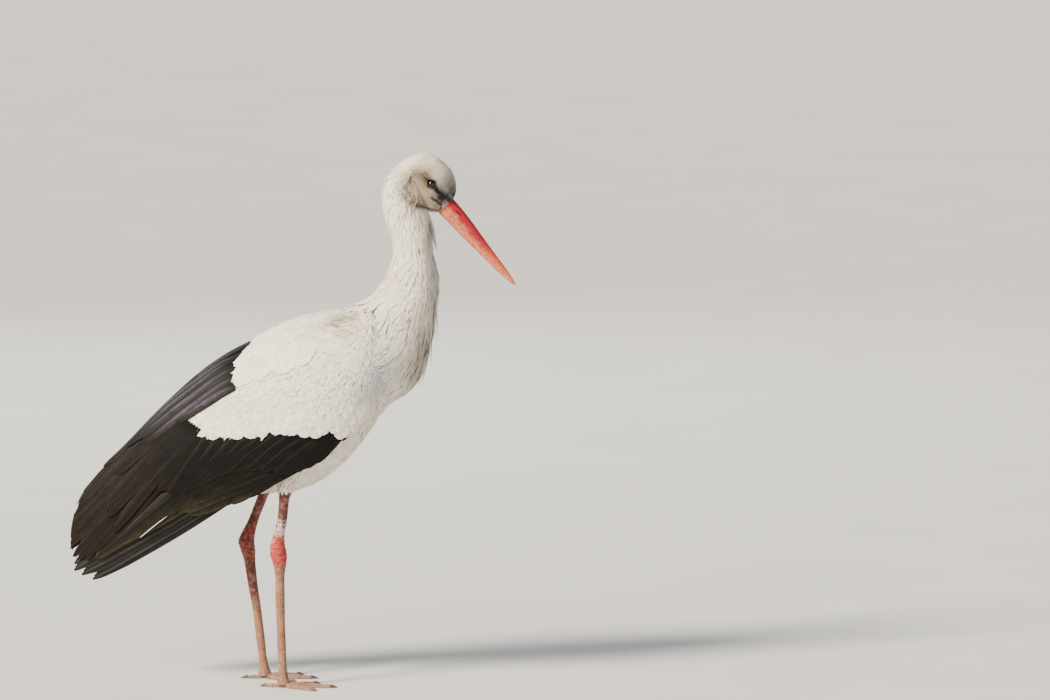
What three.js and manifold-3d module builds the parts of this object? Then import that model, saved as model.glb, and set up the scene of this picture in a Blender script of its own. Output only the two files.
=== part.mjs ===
// White stork, adult male, standing: a still, life-size figure. Millimetres, +Z up, +X ahead of the bird.
// The bird's left side is +Y. The soles of both feet lie in the plane z = 0.
import * as THREE from 'three';
import { mergeVertices } from 'three/addons/utils/BufferGeometryUtils.js';
import Module from 'manifold-3d';

const wasm = await Module();
wasm.setup();

// ---------------------------------------------------------------------------------------------
// Driving dimensions
// ---------------------------------------------------------------------------------------------
const gap = 0.3; // between neighbouring pieces

// Trunk and neck: one tube from the rump up to the crown.
// [x and z on the back, x and z on the belly or throat, half width]
const bodyRings = [
  [-158, 339, -154, 333, 6],
  [-157, 371, -123, 321, 30],
  [-149, 419, -75, 309, 56],
  [-128, 470, -22, 310, 82],
  [-94, 524, 22, 318, 98],
  [-44, 562, 66, 343, 104],
  [1, 587, 110, 388, 103],
  [46, 598, 153, 449, 97],
  [84, 604, 192, 477, 86],
  [108, 613, 212, 510, 72],
  [128, 626, 224, 558, 58],
  [144, 644, 232.5, 607, 48],
  [154, 664, 236, 650, 39],
  [163, 690, 228, 688, 33.5],
  [160.5, 722, 224, 719, 30.5],
  [151, 750, 222, 746, 29.5],
  [145.5, 776, 221, 775, 29.5],
  [149, 804, 225, 798, 29],
  [162, 828, 222, 816, 25],
  [184, 845, 214, 834, 15],
  [200, 850, 206, 846, 3],
];
const bodySides = 20;
const bodyStep = 19; // between the rings of the finished tube
const neckBase = 0.47; // places of the cuts, as parts of the tube's length
const neckMiddle = 0.69;
const neckTop = 0.845;

// Head: the bill's line points down from the head's centre.
// [along the line, centre above it, half depth, half width]
const headCentre = [225.4, 807];
const billDown = THREE.MathUtils.degToRad(49);
const headRings = [
  [-58, -15, 3, 3],
  [-54, -12, 13, 12],
  [-47, -8, 26, 21.5],
  [-30, -3, 34, 27],
  [-10, -1, 36.5, 28.5],
  [8, -1, 36.5, 27.5],
  [20, -3, 34, 24],
  [30, -5, 30, 20],
  [38, -6.5, 23, 15.5],
  [43, -7, 15, 11],
  [46, -7, 8, 7],
];
const headSides = 17;
const headSteps = 12;
const eye = { along: 0.3, above: -0.3, side: 20.5, radius: 8 };
const eyeDish = { radius: 20, depth: 25.2 }; // hollow round the eye: its floor's distance from the middle

// Bill: [along the bill's line, centre above it, half depth, half width]
const billRings = [
  [30, -8, 16.2, 12],
  [45, -7.6, 16.2, 11.6],
  [70, -7.1, 15.2, 10.6],
  [92, -7.2, 13.9, 9.4],
  [115, -7.4, 11.9, 8],
  [140, -7.7, 9.8, 6.6],
  [165, -7.8, 7.9, 5.2],
  [185, -7.7, 6, 3.8],
  [200, -7.4, 3.9, 2.6],
  [209, -7.3, 1.6, 1.2],
  [211, -7.2, 0.7, 0.7],
];
const billSides = 11;
const billSteps = 12;
const mouthLine = { base: [45, -11.6], tip: [211, -7.4] };
const nostril = { along: 64, above: 0.8, length: 7, height: 1.1, reach: 2.2 };

// Folded wings: both lie on one long shell round the back. Its own axes start at the shoulder and
// run to the rear (s) and up from it (d), tilted down towards the tail.
const bodyTilt = THREE.MathUtils.degToRad(34);
const shoulder = [150, 522.5];
const shellTop = [
  [-30, 104], [0, 104], [38, 120], [98, 140], [160, 147], [233, 150], [335, 137], [425, 118],
  [493, 105], [542, 86], [577, 54], [599, 21], [608, 3],
];
const shellLow = [
  [-30, 28], [-18, 18], [0, -6], [40, -33], [87, -56], [153, -69], [212, -71], [250, -68],
  [293, -65], [322, -55], [394, -49], [469, -46], [545, -42], [592, -35], [608, -30],
];
const shellHalfWidth = [
  [-30, 66], [-10, 80], [20, 96], [60, 106], [110, 110], [165, 107], [220, 97], [290, 81],
  [360, 66], [430, 53], [500, 42], [560, 32], [608, 26],
];
const shellTurn = THREE.MathUtils.degToRad(122); // from the top line round to the lower edge

// The wing's main sheet, in the shell's own terms
const sheetFront = [[0, 70], [0.2, 0], [0.45, -28], [0.75, -26], [1, -8]]; // across the sheet: s
const sheetTopEdge = [[-30, 0.27], [60, 0.25], [110, 0.18], [160, 0.08], [195, 0], [608, 0]]; // s: turn
const sheetLowEdge = [[322, -55], [360, -32], [428, 1], [545, -3], [608, -8]]; // s: d
const sheetEnd = { top: 601.5, low: 596, notch: 10, tips: 3 };
const sheetThickness = [[-30, 7], [60, 9.5], [200, 8.5], [300, 4], [500, 3.2], [608, 2]]; // s: mm
const sheetCells = [17, 8];

// The folded primaries, seen below the main sheet and lying inside it
const primaries = { start: 300, depth: 5, thickness: 3, hidden: 34, cells: [10, 4] };
const primariesEnd = { top: 574, low: 590, notch: 7, tips: 2 };
const edgeThickness = 1.1;
const rimMargin = 1.4; // round each sheet's rim, in what is cut away for it

// Outline of the white coverts on the closed wing, [x, z]
const covertLine = [
  [-30, 640], [-66, 556], [-84, 530], [-109, 493], [-145, 462], [-171, 432], [-156, 414], [-122, 403],
  [-65, 407], [-28, 414], [10, 412], [40, 412], [59, 423], [78, 406], [101, 418], [119.5, 446],
  [128, 466], [160, 440], [210, 440], [210, 640],
];
const covertWidth = 300;

// Tail: [s, d, half thickness, half width]
const tailRings = [
  [262, 12, 34, 44],
  [310, 8, 26, 44],
  [360, 4, 16, 42],
  [420, -1, 8, 39],
  [480, -5, 4.5, 36],
  [500, -6, 3.2, 33],
  [508, -6.5, 1.5, 24],
];
const tailRoot = 304; // s of the cut between trunk and tail

// Legs: [x, y, z, half length, half width], with y counted from the middle of the body outwards
const legs = {
  right: {
    thigh: [
      [28, 54, 398, 24, 16],
      [17, 54, 372, 32, 24],
      [4, 52, 344, 25, 21],
      [-7, 49.5, 322, 15, 14],
      [-10, 48, 309, 10, 10],
    ],
    shank: [
      [-10, 48, 308.7, 8.4, 7.8],
      [-12, 47.5, 290, 8, 7.4],
      [-14.5, 47, 268, 8, 7.2],
      [-18.5, 46.5, 250, 8.6, 7.8],
      [-21.5, 46, 232, 11.6, 9.8],
      [-20, 46, 213, 13.4, 11.2],
      [-18.6, 46, 200, 10.8, 9.6],
    ],
    tarsus: [
      [-18.6, 46, 199.7, 10.6, 9.4],
      [-18.4, 46, 184, 8, 7],
      [-18, 46, 145, 7.2, 6],
      [-17, 46, 100, 6.6, 5.8],
      [-15.5, 46, 55, 6.8, 6],
      [-14.5, 46, 30, 7, 6.4],
      [-14, 46, 16, 8.2, 8],
    ],
    foot: [-12.5, 46],
    heading: -4,
  },
  left: {
    thigh: [
      [-6, 54, 388, 24, 16],
      [-16, 54, 362, 32, 24],
      [-32, 52, 334, 25, 21],
      [-44, 49.5, 312, 15, 14],
      [-48, 48, 300, 10, 10],
    ],
    shank: [
      [-48, 48, 299.7, 8.4, 7.8],
      [-55, 47.5, 282, 8.4, 7.6],
      [-66, 47, 254, 8.8, 7.4],
      [-73, 46.5, 236, 11.4, 9],
      [-76, 46, 224, 13, 11],
      [-73.5, 46, 210, 12, 10.8],
      [-71.2, 46, 196, 9.6, 9.2],
    ],
    tarsus: [
      [-71.2, 46, 195.7, 9.4, 9],
      [-69, 46, 178, 8.2, 7],
      [-66.5, 46, 158, 7.6, 6.2],
      [-59.5, 46, 113, 6.6, 5.8],
      [-54.2, 46, 68, 6.8, 6],
      [-49.5, 46, 28, 7, 6.4],
      [-48, 46, 16, 8.2, 8],
    ],
    foot: [-46, 46],
    heading: 5,
  },
};
const legSides = 10;
const soleDepth = 3.2; // how far each toe's round section is cut away below the floor
const pad = { radius: 13, height: 15.6 };
const toes = {
  middle: { turn: 0, length: 76, root: 6.6, tip: 4.2 },
  inner: { turn: 33, length: 56, root: 6.2, tip: 4 },
  outer: { turn: -33, length: 59, root: 6.2, tip: 4 },
  hind: { turn: 172, length: 30, root: 5.4, tip: 3.8 },
};
const web = { reach: 26, thickness: 2.2 };
const claw = { length: 11, root: 3.4, drop: 1.6 };

// Colours, roughness and metalness
const looks = {
  whitePlumage: { color: 0xe8e3da, roughness: 0.85, metalness: 0 },
  blackPlumage: { color: 0x2c2523, roughness: 0.6, metalness: 0 },
  greyPlumage: { color: 0x4a403b, roughness: 0.65, metalness: 0 },
  bill: { color: 0xc0503c, roughness: 0.5, metalness: 0 },
  leg: { color: 0xb8503f, roughness: 0.6, metalness: 0 },
  eye: { color: 0x1a100c, roughness: 0.08, metalness: 0 },
  claw: { color: 0x3a302b, roughness: 0.5, metalness: 0 },
};

// ---------------------------------------------------------------------------------------------
// Curves and closed surfaces
// ---------------------------------------------------------------------------------------------

/**
 * Values at t on smooth curves through the stations [knot, value, ...]: cubics whose slopes
 * come from the neighbouring stations.
 */
function through(stations, t) {
  const last = stations.length - 1;
  const at = THREE.MathUtils.clamp(t, stations[0][0], stations[last][0]);
  let i = 0;
  while (i < last - 1 && at > stations[i + 1][0]) i += 1;
  const span = (j) => stations[j + 1][0] - stations[j][0];
  const rise = (j, n) => (stations[j + 1][n] - stations[j][n]) / span(j);
  const slope = (j, n) => {
    if (j === 0) return rise(0, n);
    if (j === last) return rise(last - 1, n);
    return (rise(j - 1, n) * span(j) + rise(j, n) * span(j - 1)) / (span(j) + span(j - 1));
  };
  const u = (at - stations[i][0]) / span(i);
  const values = [];
  for (let n = 1; n < stations[0].length; n += 1) {
    const turned = (3 * u ** 2 - 2 * u ** 3) * (stations[i + 1][n] - stations[i][n]);
    const slopes = (u ** 3 - 2 * u ** 2 + u) * slope(i, n) + (u ** 3 - u ** 2) * slope(i + 1, n);
    values.push(stations[i][n] + turned + span(i) * slopes);
  }
  return values;
}

/** The stations with the distance along their first columns put in front as the knot. */
function byDistance(rows, columns) {
  let distance = 0;
  return rows.map((row, i) => {
    if (i > 0) {
      const steps = row.slice(0, columns).map((value, n) => value - rows[i - 1][n]);
      distance += Math.hypot(...steps);
    }
    return [distance, ...row];
  });
}

/** A closed geometry from points and triangles, turned so that its faces point out. */
function closedGeometry(points, triangles) {
  let volume = 0;
  for (const [a, b, c] of triangles) {
    volume += points[a].dot(new THREE.Vector3().crossVectors(points[b], points[c]));
  }
  const index = triangles.flatMap(([a, b, c]) => (volume > 0 ? [a, b, c] : [a, c, b]));
  const geometry = new THREE.BufferGeometry().setFromPoints(points);
  geometry.setIndex(index);
  return geometry;
}

/** A tube through rings of equally many points, closed by a fan at each end. */
function closedTube(rings) {
  const sides = rings[0].length;
  const points = rings.flat();
  const triangles = [];
  for (let i = 0; i < rings.length - 1; i += 1) {
    for (let j = 0; j < sides; j += 1) {
      const a = i * sides + j;
      const b = i * sides + ((j + 1) % sides);
      triangles.push([a, b, b + sides], [a, b + sides, a + sides]);
    }
  }
  for (const [ring, first] of [[rings[0], 0], [rings.at(-1), (rings.length - 1) * sides]]) {
    const centre = ring.reduce((sum, p) => sum.add(p), new THREE.Vector3()).divideScalar(sides);
    const tip = points.push(centre) - 1;
    for (let j = 0; j < sides; j += 1) {
      const edge = [first + j, first + ((j + 1) % sides)];
      triangles.push(first === 0 ? [tip, edge[1], edge[0]] : [tip, edge[0], edge[1]]);
    }
  }
  return closedGeometry(points, triangles);
}

/** A thin slab between two sheets of points (u, v), both from 0 to 1, with walls round its rim. */
function slab(outer, inner, [along, across]) {
  const row = across + 1;
  const sheet = (along + 1) * row;
  const points = [];
  for (const surface of [outer, inner]) {
    for (let i = 0; i <= along; i += 1) {
      for (let j = 0; j <= across; j += 1) points.push(surface(i / along, j / across));
    }
  }
  const triangles = [];
  for (let i = 0; i < along; i += 1) {
    for (let j = 0; j < across; j += 1) {
      const a = i * row + j;
      triangles.push([a, a + row, a + row + 1], [a, a + row + 1, a + 1]);
      const b = a + sheet;
      triangles.push([b, b + row + 1, b + row], [b, b + 1, b + row + 1]);
    }
  }
  const rim = [];
  for (let j = 0; j < across; j += 1) rim.push(j);
  for (let i = 0; i < along; i += 1) rim.push(i * row + across);
  for (let j = across; j > 0; j -= 1) rim.push(along * row + j);
  for (let i = along; i > 0; i -= 1) rim.push(i * row);
  rim.forEach((a, n) => {
    const b = rim[(n + 1) % rim.length];
    triangles.push([a, b, b + sheet], [a, b + sheet, a + sheet]);
  });
  return closedGeometry(points, triangles);
}

/** Numbers 0 .. 1 in equal steps, both ends included. */
function steps(count) {
  return Array.from({ length: count + 1 }, (_, i) => i / count);
}

/** Points of an ellipse in the plane of two unit vectors. */
function ellipse(centre, first, radiusFirst, second, radiusSecond, sides) {
  return Array.from({ length: sides }, (_, j) => {
    const angle = (2 * Math.PI * j) / sides;
    return centre.clone()
      .addScaledVector(first, radiusFirst * Math.cos(angle))
      .addScaledVector(second, radiusSecond * Math.sin(angle));
  });
}

// ---------------------------------------------------------------------------------------------
// Solids that are joined and cut
// ---------------------------------------------------------------------------------------------

/** A solid with merged corners, ready to be joined and cut. */
function solid(geometry) {
  const bare = geometry.clone();
  bare.deleteAttribute('normal');
  bare.deleteAttribute('uv');
  const merged = mergeVertices(bare, 1e-4);
  const mesh = new wasm.Mesh({
    numProp: 3,
    vertProperties: new Float32Array(merged.attributes.position.array),
    triVerts: new Uint32Array(merged.index.array),
  });
  return new wasm.Manifold(mesh);
}

/** The geometry of a finished solid. */
function geometryOf(body) {
  const { vertProperties, triVerts } = body.getMesh();
  const geometry = new THREE.BufferGeometry();
  geometry.setAttribute('position', new THREE.BufferAttribute(new Float32Array(vertProperties), 3));
  geometry.setIndex(new THREE.BufferAttribute(new Uint32Array(triVerts), 1));
  return geometry;
}

/** The two sides of a solid at a plane, half a gap away from it each: [ahead of the normal, behind it]. */
function partedAt(body, point, normal) {
  const offset = point.dot(normal);
  const ahead = body.trimByPlane(normal.toArray(), offset + gap / 2);
  const behind = body.trimByPlane(normal.clone().negate().toArray(), -offset + gap / 2);
  return [ahead, behind];
}

// ---------------------------------------------------------------------------------------------
// Trunk, neck and head
// ---------------------------------------------------------------------------------------------
const bodyStations = byDistance(bodyRings.map(([backX, backZ, frontX, frontZ, halfWidth]) => (
  [(backX + frontX) / 2, (backZ + frontZ) / 2, (backX - frontX) / 2, (backZ - frontZ) / 2, halfWidth]
)), 2);
const bodyLength = bodyStations.at(-1)[0];

/** Centre, axes and radii of the body's ring at a distance along it. */
function bodyFrame(distance) {
  const [x, z, toBackX, toBackZ, halfWidth] = through(bodyStations, distance);
  const toBack = new THREE.Vector3(toBackX, 0, toBackZ);
  const halfDepth = toBack.length();
  const up = toBack.normalize();
  const direction = new THREE.Vector3(up.z, 0, -up.x);
  return { centre: new THREE.Vector3(x, 0, z), up, direction, halfDepth, halfWidth };
}

function bodyTube() {
  const rings = steps(Math.round(bodyLength / bodyStep)).map((part) => {
    const { centre, up, halfDepth, halfWidth } = bodyFrame(part * bodyLength);
    return ellipse(centre, up, halfDepth, new THREE.Vector3(0, 1, 0), halfWidth, bodySides);
  });
  return solid(closedTube(rings));
}

/** A place beside the bill's line: along it, above it and to the left. */
function billPlace(along, above, left) {
  const x = headCentre[0] + along * Math.cos(billDown) + above * Math.sin(billDown);
  const z = headCentre[1] - along * Math.sin(billDown) + above * Math.cos(billDown);
  return new THREE.Vector3(x, left, z);
}

/** A tube along the bill's line, made wider by grow all round. */
function tubeAlongBill(stations, count, sides, grow = 0) {
  const up = billPlace(0, 1, 0).sub(billPlace(0, 0, 0));
  const [first, last] = [stations[0][0], stations.at(-1)[0]];
  const rings = steps(count).map((part) => {
    const along = first + (last - first) * part;
    const [above, halfDepth, halfWidth] = through(stations, along);
    const reach = along + grow * (2 * part - 1);
    const centre = billPlace(reach, above, 0);
    return ellipse(centre, up, halfDepth + grow, new THREE.Vector3(0, 1, 0), halfWidth + grow, sides);
  });
  return solid(closedTube(rings));
}

function sphere(centre, radius, segments) {
  const geometry = new THREE.SphereGeometry(radius, segments, Math.round(segments * 0.55));
  return geometry.translate(...centre);
}

function eyeCentre(side, out) {
  return billPlace(eye.along, eye.above, side * out);
}

/** The head with its crown, cut out round both eyes and for the bill. */
function headSolid(crown, bill) {
  let head = tubeAlongBill(headRings, headSteps, headSides).add(crown).subtract(bill);
  for (const side of [-1, 1]) {
    const dish = sphere(eyeCentre(side, eyeDish.depth + eyeDish.radius), eyeDish.radius, 12);
    const socket = sphere(eyeCentre(side, eye.side), eye.radius + gap, 12);
    head = head.subtract(solid(dish)).subtract(solid(socket));
  }
  return head;
}

/** Upper and lower half of the bill, parted along the mouth; the upper has a nostril slit in each side. */
function billSolids() {
  const whole = tubeAlongBill(billRings, billSteps, billSides);
  const base = billPlace(...mouthLine.base, 0);
  const tip = billPlace(...mouthLine.tip, 0);
  const line = tip.clone().sub(base).normalize();
  const normal = new THREE.Vector3(-line.z, 0, line.x);
  const [upper, lower] = partedAt(whole, base, normal);
  let pierced = upper;
  for (const side of [-1, 1]) {
    const halfWidth = through(billRings, nostril.along)[2];
    const slit = new THREE.SphereGeometry(1, 7, 4)
      .scale(nostril.length, nostril.reach, nostril.height)
      .rotateY(billDown)
      .translate(...billPlace(nostril.along, nostril.above, side * halfWidth * 0.94));
    pierced = pierced.subtract(solid(slit));
  }
  return { upper: pierced, lower };
}

// ---------------------------------------------------------------------------------------------
// Wings and tail
// ---------------------------------------------------------------------------------------------

/** A place in the body's own axes: s to the rear, d up from it, left across. */
function bodyPlace(s, d, left) {
  const x = shoulder[0] - s * Math.cos(bodyTilt) - d * Math.sin(bodyTilt);
  const z = shoulder[1] - s * Math.sin(bodyTilt) + d * Math.cos(bodyTilt);
  return new THREE.Vector3(x, left, z);
}

/** Top, low edge and half width of the wings' shell at s. */
function shellAt(s) {
  const [top] = through(shellTop, s);
  const [low] = through(shellLow, s);
  const [halfWidth] = through(shellHalfWidth, s);
  return { top, low, halfWidth, halfDepth: (top - low) / (1 - Math.cos(shellTurn)) };
}

/** Point of the shell: v turns from the top line (0) to the lower edge (1), h is the height off it. */
function shellPoint(s, v, h, side) {
  const { top, halfWidth, halfDepth } = shellAt(s);
  const angle = v * shellTurn;
  const across = Math.sin(angle) / halfWidth;
  const upward = Math.cos(angle) / halfDepth;
  const length = Math.hypot(across, upward);
  const d = top - halfDepth * (1 - Math.cos(angle)) + (h * upward) / length;
  const out = halfWidth * Math.sin(angle) + (h * across) / length;
  return bodyPlace(s, d, side * (out + gap / 2));
}

/** The turn v at which the shell has the height d at s. */
function turnAt(s, d) {
  const { top, halfDepth } = shellAt(s);
  const cosine = THREE.MathUtils.clamp(1 - (top - d) / halfDepth, -1, 1);
  return Math.min(Math.acos(cosine) / shellTurn, 1);
}

/** End of a sheet of feathers at q across it: pointed tips with notches between them. */
function raggedEnd({ top, low, notch, tips }, q) {
  const tip = Math.abs(Math.cos(Math.PI * tips * q));
  return top + (low - top) * q - notch * (1 - tip);
}

/** Full thickness inside a sheet, thin at its rim. */
function thinned(full, u, q) {
  const inward = Math.min(u, 1 - u, q, 1 - q) * 8;
  return edgeThickness + (full - edgeThickness) * Math.min(inward, 1);
}

/** The main sheet of one wing. As a cutter it is thick outwards and wider by a gap. */
function mainSheet(side, cutter = false) {
  const margin = cutter ? rimMargin : 0;
  const surface = (height) => (u, q) => {
    const front = through(sheetFront, q)[0] - margin;
    const s = front + (raggedEnd(sheetEnd, q) + margin - front) * u;
    const turnMargin = margin / shellAt(s).halfDepth / shellTurn;
    const top = Math.max(through(sheetTopEdge, s)[0], 0) - turnMargin;
    const lowEdge = s < sheetLowEdge[0][0] ? 1 : turnAt(s, through(sheetLowEdge, s)[0]);
    const v = top + (lowEdge + turnMargin - top) * q;
    return shellPoint(s, v, height(s, u, q), side);
  };
  const depth = (s, u, q) => thinned(through(sheetThickness, s)[0], u, q);
  const outer = surface(() => (cutter ? 40 : 0));
  const inner = surface((s, u, q) => (cutter ? -through(sheetThickness, s)[0] - gap : -depth(s, u, q)));
  return solid(slab(outer, inner, sheetCells));
}

/** The folded primaries of one wing, inside the main sheet and seen below it. */
function primarySheet(side, cutter = false) {
  const { start, depth, thickness, hidden, cells } = primaries;
  const margin = cutter ? rimMargin : 0;
  const surface = (height) => (u, q) => {
    const s = start - margin + (raggedEnd(primariesEnd, q) - start + 2 * margin) * u;
    const top = turnAt(s, through(sheetLowEdge, s)[0] + hidden);
    return shellPoint(s, top + (1 - top) * q, height(u, q), side);
  };
  const outer = surface(() => (cutter ? gap - depth : -depth));
  const inner = surface((u, q) => -depth - (cutter ? thickness + gap : thinned(thickness, u, q)));
  return solid(slab(outer, inner, cells));
}

/** The region of the white coverts, across the whole bird, its sides moved out by grow. */
function covertRegion(grow) {
  const points = covertLine.map(([x, z]) => new THREE.Vector2(x, z));
  const outward = (from, to) => new THREE.Vector2(to.y - from.y, from.x - to.x).normalize();
  const corners = points.map((point, i) => {
    const before = outward(points.at(i - 1), point);
    const after = outward(point, points[(i + 1) % points.length]);
    const mitre = before.add(after);
    return point.clone().addScaledVector(mitre, (2 * grow) / mitre.lengthSq());
  });
  const outline = new THREE.Shape(corners);
  const prism = new THREE.ExtrudeGeometry(outline, { depth: covertWidth, bevelEnabled: false });
  return solid(prism.rotateX(Math.PI / 2).translate(0, covertWidth / 2, 0));
}

function tailBlade() {
  const first = tailRings[0][0];
  const last = tailRings.at(-1)[0];
  const up = bodyPlace(0, 1, 0).sub(bodyPlace(0, 0, 0));
  const rings = steps(12).map((part) => {
    const s = first + (last - first) * part;
    const [d, halfThickness, halfWidth] = through(tailRings, s);
    return ellipse(bodyPlace(s, d, 0), up, halfThickness, new THREE.Vector3(0, 1, 0), halfWidth, 16);
  });
  return solid(closedTube(rings));
}

// ---------------------------------------------------------------------------------------------
// Legs and feet
// ---------------------------------------------------------------------------------------------

/** An upright limb through its stations, with level rings. */
function limb(rows, side, count, grow = 0) {
  const stations = byDistance(rows, 3);
  const length = stations.at(-1)[0];
  const rings = steps(count).map((part) => {
    const [x, y, z, halfLength, halfWidth] = through(stations, part * length);
    const centre = new THREE.Vector3(x, side * y, z);
    const [ahead, left] = [new THREE.Vector3(1, 0, 0), new THREE.Vector3(0, 1, 0)];
    return ellipse(centre, ahead, halfLength + grow, left, halfWidth + grow, legSides);
  });
  return closedTube(rings);
}

/** Unit vector on the floor, turned from straight ahead towards the bird's middle. */
function headingVector(degrees, side) {
  const angle = -side * THREE.MathUtils.degToRad(degrees);
  return new THREE.Vector3(Math.cos(angle), Math.sin(angle), 0);
}

/** A round body along the floor: rows [distance, height of its centre, radius]. */
function floorTube(root, direction, rows, sides) {
  const left = new THREE.Vector3(-direction.y, direction.x, 0);
  const up = new THREE.Vector3(0, 0, 1);
  const rings = rows.map(([distance, height, radius]) => {
    const centre = root.clone().addScaledVector(direction, distance).setZ(height);
    return ellipse(centre, left, radius, up, radius, sides);
  });
  return solid(closedTube(rings));
}

/** One toe: swollen joints along it, and a rounded end that the claw springs from. */
function toeSolid(root, direction, { length, root: thick, tip }) {
  const rows = [0, 0.33, 0.5, 0.67, 0.9, 1].map((part) => {
    const swell = 0.5 * Math.cos(part * 6 * Math.PI);
    const radius = part === 1 ? tip * 0.75 : thick + (tip - thick) * part + swell * 0.6;
    return [part * length, radius - soleDepth * (part === 1 ? 0.5 : 1), radius];
  });
  return floorTube(root, direction, rows, 7);
}

/** A claw ahead of the toe's end, curving down to the floor. */
function clawSolid(root, direction, { length }) {
  const { length: reach, root: thick, drop } = claw;
  const start = length + gap;
  const rows = [[0, 1], [0.5, 0.75], [1, 0.15]].map(([part, size]) => {
    const radius = thick * size;
    return [start + part * reach, Math.max(thick - drop * part ** 2 * 1.3, radius * 0.6), radius];
  });
  return floorTube(root, direction, rows, 6);
}

/** Toes, ball of the foot and the short webs between the front toes, cut flat at the floor. */
function footSolid(root, heading, side) {
  const ball = new THREE.CylinderGeometry(pad.radius * 0.62, pad.radius * 1.05, pad.height, 12)
    .rotateX(Math.PI / 2)
    .translate(root.x, root.y, pad.height / 2 - 0.1);
  let foot = solid(ball);
  for (const toe of Object.values(toes)) {
    foot = foot.add(toeSolid(root, headingVector(heading + toe.turn, side), toe));
  }
  for (const toe of [toes.inner, toes.outer]) {
    const corners = [0, toe.turn, toe.turn * 0.5].map((turn, n) => {
      const reach = n === 2 ? web.reach * 0.72 : web.reach;
      return headingVector(heading + turn, side).multiplyScalar(reach).add(root);
    });
    const edge = [root, corners[0], corners[2], corners[1]];
    const outline = new THREE.Shape(edge.map((corner) => new THREE.Vector2(corner.x, corner.y)));
    const skin = new THREE.ExtrudeGeometry(outline, { depth: web.thickness, bevelEnabled: false });
    foot = foot.add(solid(skin.translate(0, 0, 0.9)));
  }
  return foot.trimByPlane([0, 0, 1], 0);
}

// ---------------------------------------------------------------------------------------------
// The stork
// ---------------------------------------------------------------------------------------------
const stork = new THREE.Group();

function addPiece(name, geometry, look) {
  const mesh = new THREE.Mesh(geometry, new THREE.MeshStandardMaterial(look));
  mesh.name = name;
  stork.add(mesh);
}

function addSolid(name, body, look) {
  addPiece(name, geometryOf(body), look);
}

/** One leg with its foot and claws; returns the thigh made larger, to be cut out of the trunk. */
function addLeg(name, side) {
  const leg = legs[name];
  const root = new THREE.Vector3(leg.foot[0], side * leg.foot[1], 0);
  addPiece(`thigh_${name}`, limb(leg.thigh, side, 5), looks.whitePlumage);
  addPiece(`shank_${name}`, limb(leg.shank, side, 7), looks.leg);
  addPiece(`tarsus_${name}`, limb(leg.tarsus, side, 6), looks.leg);
  addSolid(`foot_${name}`, footSolid(root, leg.heading, side), looks.leg);
  for (const [toeName, toe] of Object.entries(toes)) {
    const body = clawSolid(root, headingVector(leg.heading + toe.turn, side), toe);
    addSolid(`claw_${name}_${toeName}`, body.trimByPlane([0, 0, 1], 0), looks.claw);
  }
  return solid(limb(leg.thigh, side, 5, gap));
}

/** One wing: coverts, flight feathers and primaries; returns the room they need in the trunk. */
function addWing(name, side) {
  const sheet = mainSheet(side);
  addSolid(`wing_${name}`, sheet.intersect(covertRegion(-gap / 2)), looks.whitePlumage);
  addSolid(`flight_feathers_${name}`, sheet.subtract(covertRegion(gap / 2)), looks.blackPlumage);
  addSolid(`primaries_${name}`, primarySheet(side), looks.greyPlumage);
  return mainSheet(side, true).add(primarySheet(side, true));
}

const sides = { right: -1, left: 1 };
const room = { wings: [], thighs: [] };
for (const [name, side] of Object.entries(sides)) {
  room.wings.push(addWing(name, side));
  room.thighs.push(addLeg(name, side));
  addPiece(`eye_${name}`, mergeVertices(sphere(eyeCentre(side, eye.side), eye.radius, 12)), looks.eye);
}
const clear = (body, solids) => solids.reduce((rest, cutter) => rest.subtract(cutter), body);

const bill = billSolids();
addSolid('bill_upper', bill.upper, looks.bill);
addSolid('bill_lower', bill.lower, looks.bill);

const cut = [neckBase, neckMiddle, neckTop].map((part) => bodyFrame(bodyLength * part));
const [aboveBase, trunkAndRump] = partedAt(bodyTube(), cut[0].centre, cut[0].direction);
const [aboveMiddle, lowerNeck] = partedAt(aboveBase, cut[1].centre, cut[1].direction);
const [crown, upperNeck] = partedAt(aboveMiddle, cut[2].centre, cut[2].direction);
const headHull = tubeAlongBill(headRings, headSteps, headSides, gap);
const billHull = tubeAlongBill(billRings, billSteps, billSides, gap);
addSolid('head', headSolid(crown, billHull), looks.whitePlumage);
addSolid('neck_upper', upperNeck.subtract(headHull), looks.whitePlumage);
addSolid('neck_lower', clear(lowerNeck, room.wings), looks.whitePlumage);

const rearward = bodyPlace(1, 0, 0).sub(bodyPlace(0, 0, 0));
const [rump, trunk] = partedAt(trunkAndRump, bodyPlace(tailRoot, 0, 0), rearward);
const [tailRear] = partedAt(tailBlade(), bodyPlace(tailRoot, 0, 0), rearward);
addSolid('trunk', clear(trunk, [...room.wings, ...room.thighs]), looks.whitePlumage);
addSolid('tail', clear(rump.add(tailRear), room.wings), looks.whitePlumage);

export default stork;
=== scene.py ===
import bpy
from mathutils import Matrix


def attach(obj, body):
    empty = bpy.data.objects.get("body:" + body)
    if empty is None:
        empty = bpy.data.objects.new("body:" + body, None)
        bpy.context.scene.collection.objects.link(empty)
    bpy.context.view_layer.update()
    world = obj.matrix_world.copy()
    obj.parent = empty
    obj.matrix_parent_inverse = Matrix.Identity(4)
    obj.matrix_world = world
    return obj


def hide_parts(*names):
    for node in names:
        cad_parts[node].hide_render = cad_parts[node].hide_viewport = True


bl_info = {
    "name": "Standing stork",
    "version": (1, 0, 0),
    "blender": (4, 5, 0),
    "location": "3D View > Sidebar > Stork",
    "description": "A life-size white stork at rest, its feathers laid in tracts over one skin",
    "category": "Object",
}

import bpy
import numpy as np
from mathutils import Vector

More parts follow.
